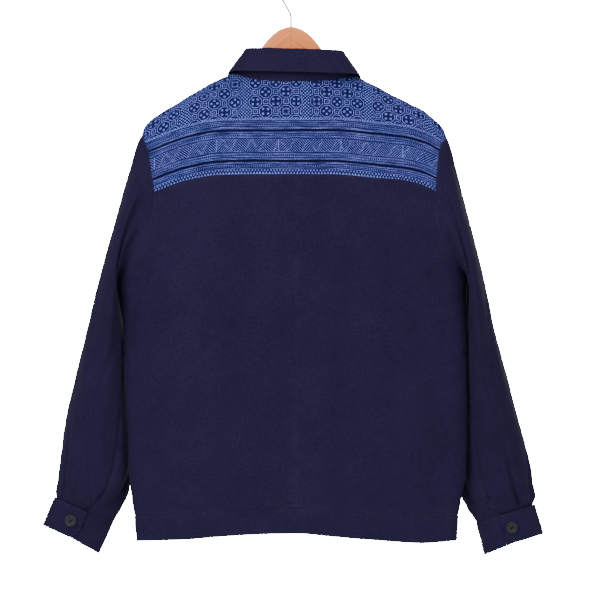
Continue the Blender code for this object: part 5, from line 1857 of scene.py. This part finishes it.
def stripes(u, v, streak):
    """Pale share of the stripes, from the seam up to the field."""
    pale = 0.14 + 0.68 * streak
    for centre, half, depth in DARK_LINES:
        pale = pale * (1.0 - v.near(centre, half + 0.08, 0.25) * depth)
    dots = (u * (2 * math.pi / 3.1)).sine().above(-0.1, 0.35)
    for centre in DOT_ROWS:
        pale = pale * (1.0 - v.near(centre, 1.35, 0.25) * (0.25 + 0.75 * dots))
    tooth = abs((u / TOOTH).fract() - 0.5) * 2.0
    lower = (tooth - 0.30 - (v - 0.4) * (0.65 / 3.3)).above(0.0, 0.12)
    upper = (0.62 - tooth - abs(v - 5.2) * 0.42).above(0.0, 0.12)
    border = v.above(3.7).pick(lower, upper) * 0.9
    return v.below(7.0, 0.2).pick(pale, border)


def blocks(u, v):
    """Pale share of the band of slanting blocks."""
    lean = (v - BLOCK_MIDDLE) * 0.55
    left, right = u - lean, u + lean
    block = (left / BLOCK_LENGTH).fract().above(0.5)
    up = ((u + v) / 3.9).fract().near(0.5, 0.11, 0.07)
    down = ((u - v) / 3.9).fract().near(0.5, 0.11, 0.07)
    hatch = block.pick(up, down).most(MIDDLE_TONE)
    edge = left.centred(BLOCK_LENGTH / 2).near(0.0, 1.5, 0.3)
    edge = edge.most(right.centred(BLOCK_LENGTH, 0.25).near(0.0, 1.2, 0.3))
    dotted = edge * checks(u, v, 2.2).above(0.1, 0.2)
    bars = u.centred(PANEL_LENGTH, 0.2).near(0.0, 0.9, 0.3)
    return hatch.most(dotted * 0.55).most(bars * 0.6)


def batik_cotton(name):
    look = Look(name, 0.86)
    u, v = look.plane()
    shake = look.noise(look.point(u * 0.05, v * 0.05), 1.0, 2.0) - 0.5
    shake_too = look.noise(look.point(u * 0.05 + 7.3, v * 0.05), 1.0, 2.0) - 0.5
    slow = look.noise(look.point(u * 0.008, v * 0.008 + 3.1), 1.0, 1.0) - 0.5
    true_v = v + slow * 4.6
    u, v = u + shake * 2.4, true_v + shake_too * 1.4
    height, slub_u, slub_v = weave(look, u, v, 1.0)
    field, dense = cells(u, v)
    fringe = v.near(FIELD_START + 1.7, 1.7, 0.2)
    field = fringe.pick(field, checks(u, v, 2.0).above(0.0, 0.3))
    in_field = v.above(FIELD_START, 0.2)
    streak = look.noise(look.point(u * 0.035, v * 0.95), 1.0, 2.0).above(0.5, 0.16)
    pale = in_field.pick(stripes(u, v, streak), field)
    pale = v.near(BLOCK_MIDDLE, BLOCK_HALF, 0.2).pick(pale, blocks(u, v))
    faded = look.noise(look.space(), 26.0, 3.0)
    drawn = look.noise(look.point(u * 0.22, v * 0.22 + 5.0), 1.0, 2.0)
    speck = look.noise(look.point(u * 0.62, v * 0.62 + 9.0), 1.0, 1.0).above(0.5, 0.10)
    pale = pale * (0.52 + 0.66 * faded).least(1.0) * (0.66 + 0.62 * drawn).least(1.0) * (0.40 + 0.66 * speck)
    pale = pale.most(speck * 0.016)
    tint = look.noise(look.point(u * 0.014, v * 0.022), 1.0, 2.0).above(0.5, 0.2)
    tint = (tint * 0.40).most(dense * in_field * 0.45)
    ground = mix(look.tree, GROUND, GROUND_TEAL, tint)
    line = mix(look.tree, WAX_LINE, WAX_LINE_TEAL, tint)
    dyed = mix(look.tree, ground, line, pale.most(0.0).least(1.0))
    navy_lines = true_v.near(NAVY_LINES[0], 1.95, 0.2).most(true_v.near(NAVY_LINES[1], 1.95, 0.2))
    dyed = mix(look.tree, dyed, NAVY_DYE, navy_lines)
    look.colour(dyed)
    look.rough(0.78 + 0.16 * slub_u)
    look.shader.inputs["Sheen Weight"].default_value = 0.02
    look.shader.inputs["Specular IOR Level"].default_value = 0.06
    look.bump(height + pale * 0.25, 0.00020, 0.7)
    return look.made


print("stripes:", len(DARK_LINES), "dark lines,", len(DOT_ROWS), "rows of dots; cell", CELL, "mm")

# %% [markdown]
# ## Wood, wire, horn and thread
# The small parts need only two near tones and a fine grain. The hanger's wood has long lines that
# slant down from the joint in the middle.

# %%
def plain_look(name, dark, pale, scale, roughness, metallic=0.0, spread=0.25, gloss=0.5):
    look = Look(name, roughness, metallic)
    look.shader.inputs["Specular IOR Level"].default_value = gloss
    grain = look.noise(look.space(), scale, 4.0, 0.6)
    look.colour(mix(look.tree, dark, pale, grain.above(0.5, spread)))
    look.rough(roughness + 0.12 * (grain - 0.5))
    return look


def wood_look(name):
    """Light hardwood in two halves: each side's grain slants down and away from the middle joint."""
    look = Look(name, 0.42)
    at = add_node(look.tree, "ShaderNodeSeparateXYZ", Vector=look.space())
    x, y, z = (Field(look.tree, out) * 1000.0 for out in at.outputs)
    slant = z + abs(x) * 0.75
    wander = look.noise(look.point(x * 0.012, y * 0.05, z * 0.012), 1.0, 3.0)
    lines = look.noise(look.point(slant * 0.45 + wander * 2.0, x * 0.02, y * 0.06), 1.0, 4.0, 0.6)
    fine = look.noise(look.point(slant * 2.4, x * 0.05, y * 0.4), 1.0, 2.0)
    tone = (lines - 0.5) * 1.9 + (fine - 0.5) * 0.7 + 0.5
    base = mix(look.tree, (0.680, 0.145, 0.024, 1), (0.980, 0.285, 0.054, 1), tone.most(0.0).least(1.0))
    joint = x.near(0.0, 0.28, 0.12)
    look.colour(mix(look.tree, base, (0.20, 0.085, 0.035, 1), joint * 0.8))
    look.rough(0.34 + 0.2 * lines)
    look.shader.inputs["Coat Weight"].default_value = 0.25
    look.shader.inputs["Coat Roughness"].default_value = 0.25
    look.bump(lines * 0.6 + fine * 0.4, 0.0003, 0.35)
    return look.made


navy = navy_cotton("navy_cotton")
batik = batik_cotton("batik_cotton")
wood = wood_look("hanger_wood")
wire = plain_look("hook_wire", (0.20, 0.20, 0.21, 1), (0.42, 0.42, 0.43, 1), 180.0, 0.32, 1.0).made
horn = plain_look("horn", (0.010, 0.009, 0.014, 1), (0.026, 0.023, 0.032, 1), 260.0, 0.55,
                  spread=0.2, gloss=0.14).made
thread = plain_look("thread", (0.009, 0.007, 0.024, 1), (0.020, 0.016, 0.044, 1), 300.0, 0.85,
                    gloss=0.1).made
print("materials:", len(bpy.data.materials))

# %% [markdown]
# ## Putting it together
# Each piece is tied to the solid that it stands for and gets its material, and its area is
# printed beside the size of the flat cloth that it is cut from.

# %%
def dress(piece, made, slot, *nodes):
    piece.data.materials.clear()
    piece.data.materials.append(made)
    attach(piece, "root")
    if nodes:
        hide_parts(*nodes)


def outer_area(piece):
    """Half of a thin shell's area, in square metres."""
    return sum(f.area for f in piece.data.polygons) / 2


cloth = {
    "yoke": yoke,
    "back_left": backs[0], "back_right": backs[1],
    "front_left": fronts[0], "front_right": fronts[1], "front_placket": placket.piece,
    "hem_band_back": hem_back.piece, "hem_band_front_left": hem_left.piece,
    "hem_band_front_right": hem_right.piece,
    "sleeve_left": sleeves[-1].piece, "sleeve_right": sleeves[1].piece,
    "cuff_left": cuffs[-1].piece, "cuff_right": cuffs[1].piece,
    "collar_stand": stand.piece, "collar_fall": fall.piece,
}
# Width and length of each flat piece in metres, and its area where that is less than the whole.
FLAT = {
    "yoke": (0.47, 0.21, 0.075),
    "back_left": (0.275, 0.512, 0.130), "back_right": (0.275, 0.515, 0.130),
    "front_left": (0.28, 0.66, 0.145), "front_right": (0.30, 0.66, 0.162),
    "front_placket": (0.033, 0.605, None),
    "hem_band_back": (0.52, 0.038, None), "hem_band_front_left": (0.25, 0.038, None),
    "hem_band_front_right": (0.28, 0.038, None),
    "sleeve_left": (0.44, 0.56, 0.155), "sleeve_right": (0.44, 0.56, 0.155),
    "cuff_left": (0.295, 0.046, None), "cuff_right": (0.29, 0.046, None), "collar_stand": (0.52, 0.034, None),
    "collar_fall": (0.47, 0.087, 0.028),
}
for node, piece in cloth.items():
    dress(piece, batik if node == "yoke" else navy, "batik_cotton" if node == "yoke" else "navy_cotton", node)
    width, length, area = FLAT[node]
    with_pieces = [threads] if node == "collar_fall" else []
    print(node, "outer area:", round(outer_area(piece), 4), "of", round(width * length, 4))
for piece, node in buttons:
    dress(piece, horn, "button", node)
dress(threads, thread, "navy_cotton")
dress(button_thread, thread, "navy_cotton")
dress(hanger, wood, "hanger_wood", "hanger")
dress(hook, wire, "hook_wire", "hanger_hook")

# %% [markdown]
# ## Studio
# The photo shows the jacket from straight behind on a plain white ground, in soft even light. A
# long lens from far off keeps its outline square.

# %%
def stage_plane(name, size, place, turn):
    bpy.ops.mesh.primitive_plane_add(size=size, location=place, rotation=turn)
    plane = bpy.context.object
    plane.name = name
    look = Look(name, 0.9)
    look.shader.inputs["Base Color"].default_value = (0.9, 0.9, 0.9, 1)
    plane.data.materials.append(look.made)
    return plane


floor = stage_plane("floor", 12, (0, 0, -1.5), (0, 0, 0))
wall = stage_plane("backdrop", 16, (0, 22, -0.5), (math.radians(90), 0, 0))
paper = wall.data.materials[0].node_tree
paper.nodes["Principled BSDF"].inputs["Emission Color"].default_value = (1, 1, 1, 1)
seen = Field(paper, paper.nodes.new("ShaderNodeLightPath").outputs["Is Camera Ray"])
feed(paper, paper.nodes["Principled BSDF"].inputs["Emission Strength"], seen * 40.0)


def soft_light(name, size, place, power, aim=(0, 0, -0.45)):
    data = bpy.data.lights.new(name, "AREA")
    data.shape = "SQUARE"
    data.size = size
    data.energy = power
    light = bpy.data.objects.new(name, data)
    light.location = place
    light.rotation_euler = (Vector(aim) - Vector(place)).to_track_quat("-Z", "Y").to_euler()
    light.visible_camera = False
    print(name, "light:", power, "W")
    bpy.context.scene.collection.objects.link(light)


soft_light("key", 1.6, (-1.7, -2.6, 1.0), 104)
soft_light("fill", 2.4, (2.2, -2.6, 0.2), 44)
soft_light("top", 1.6, (0.3, -0.6, 2.2), 24)
soft_light("front", 2.4, (0.9, 3.2, 0.3), 60)  # for views from the other side
world = bpy.data.worlds.new("studio") if bpy.context.scene.world is None else bpy.context.scene.world
bpy.context.scene.world = world
world.use_nodes = True
world.node_tree.nodes["Background"].inputs["Color"].default_value = (1, 1, 1, 1)
world.node_tree.nodes["Background"].inputs["Strength"].default_value = 0.55

AIM_X, AIM_DROP, DISTANCE, SEEN = 13.5, 490.5, 14.0, 0.9
camera_data = bpy.data.cameras.new("camera")
camera_data.lens = 36.0 * DISTANCE / SEEN
camera_data.dof.use_dof = False
camera = bpy.data.objects.new("camera", camera_data)
camera.location = (AIM_X * MM, -DISTANCE, -AIM_DROP * MM)
camera.rotation_euler = (math.radians(90), 0, 0)
bpy.context.scene.collection.objects.link(camera)
bpy.context.scene.camera = camera

# %% [markdown]
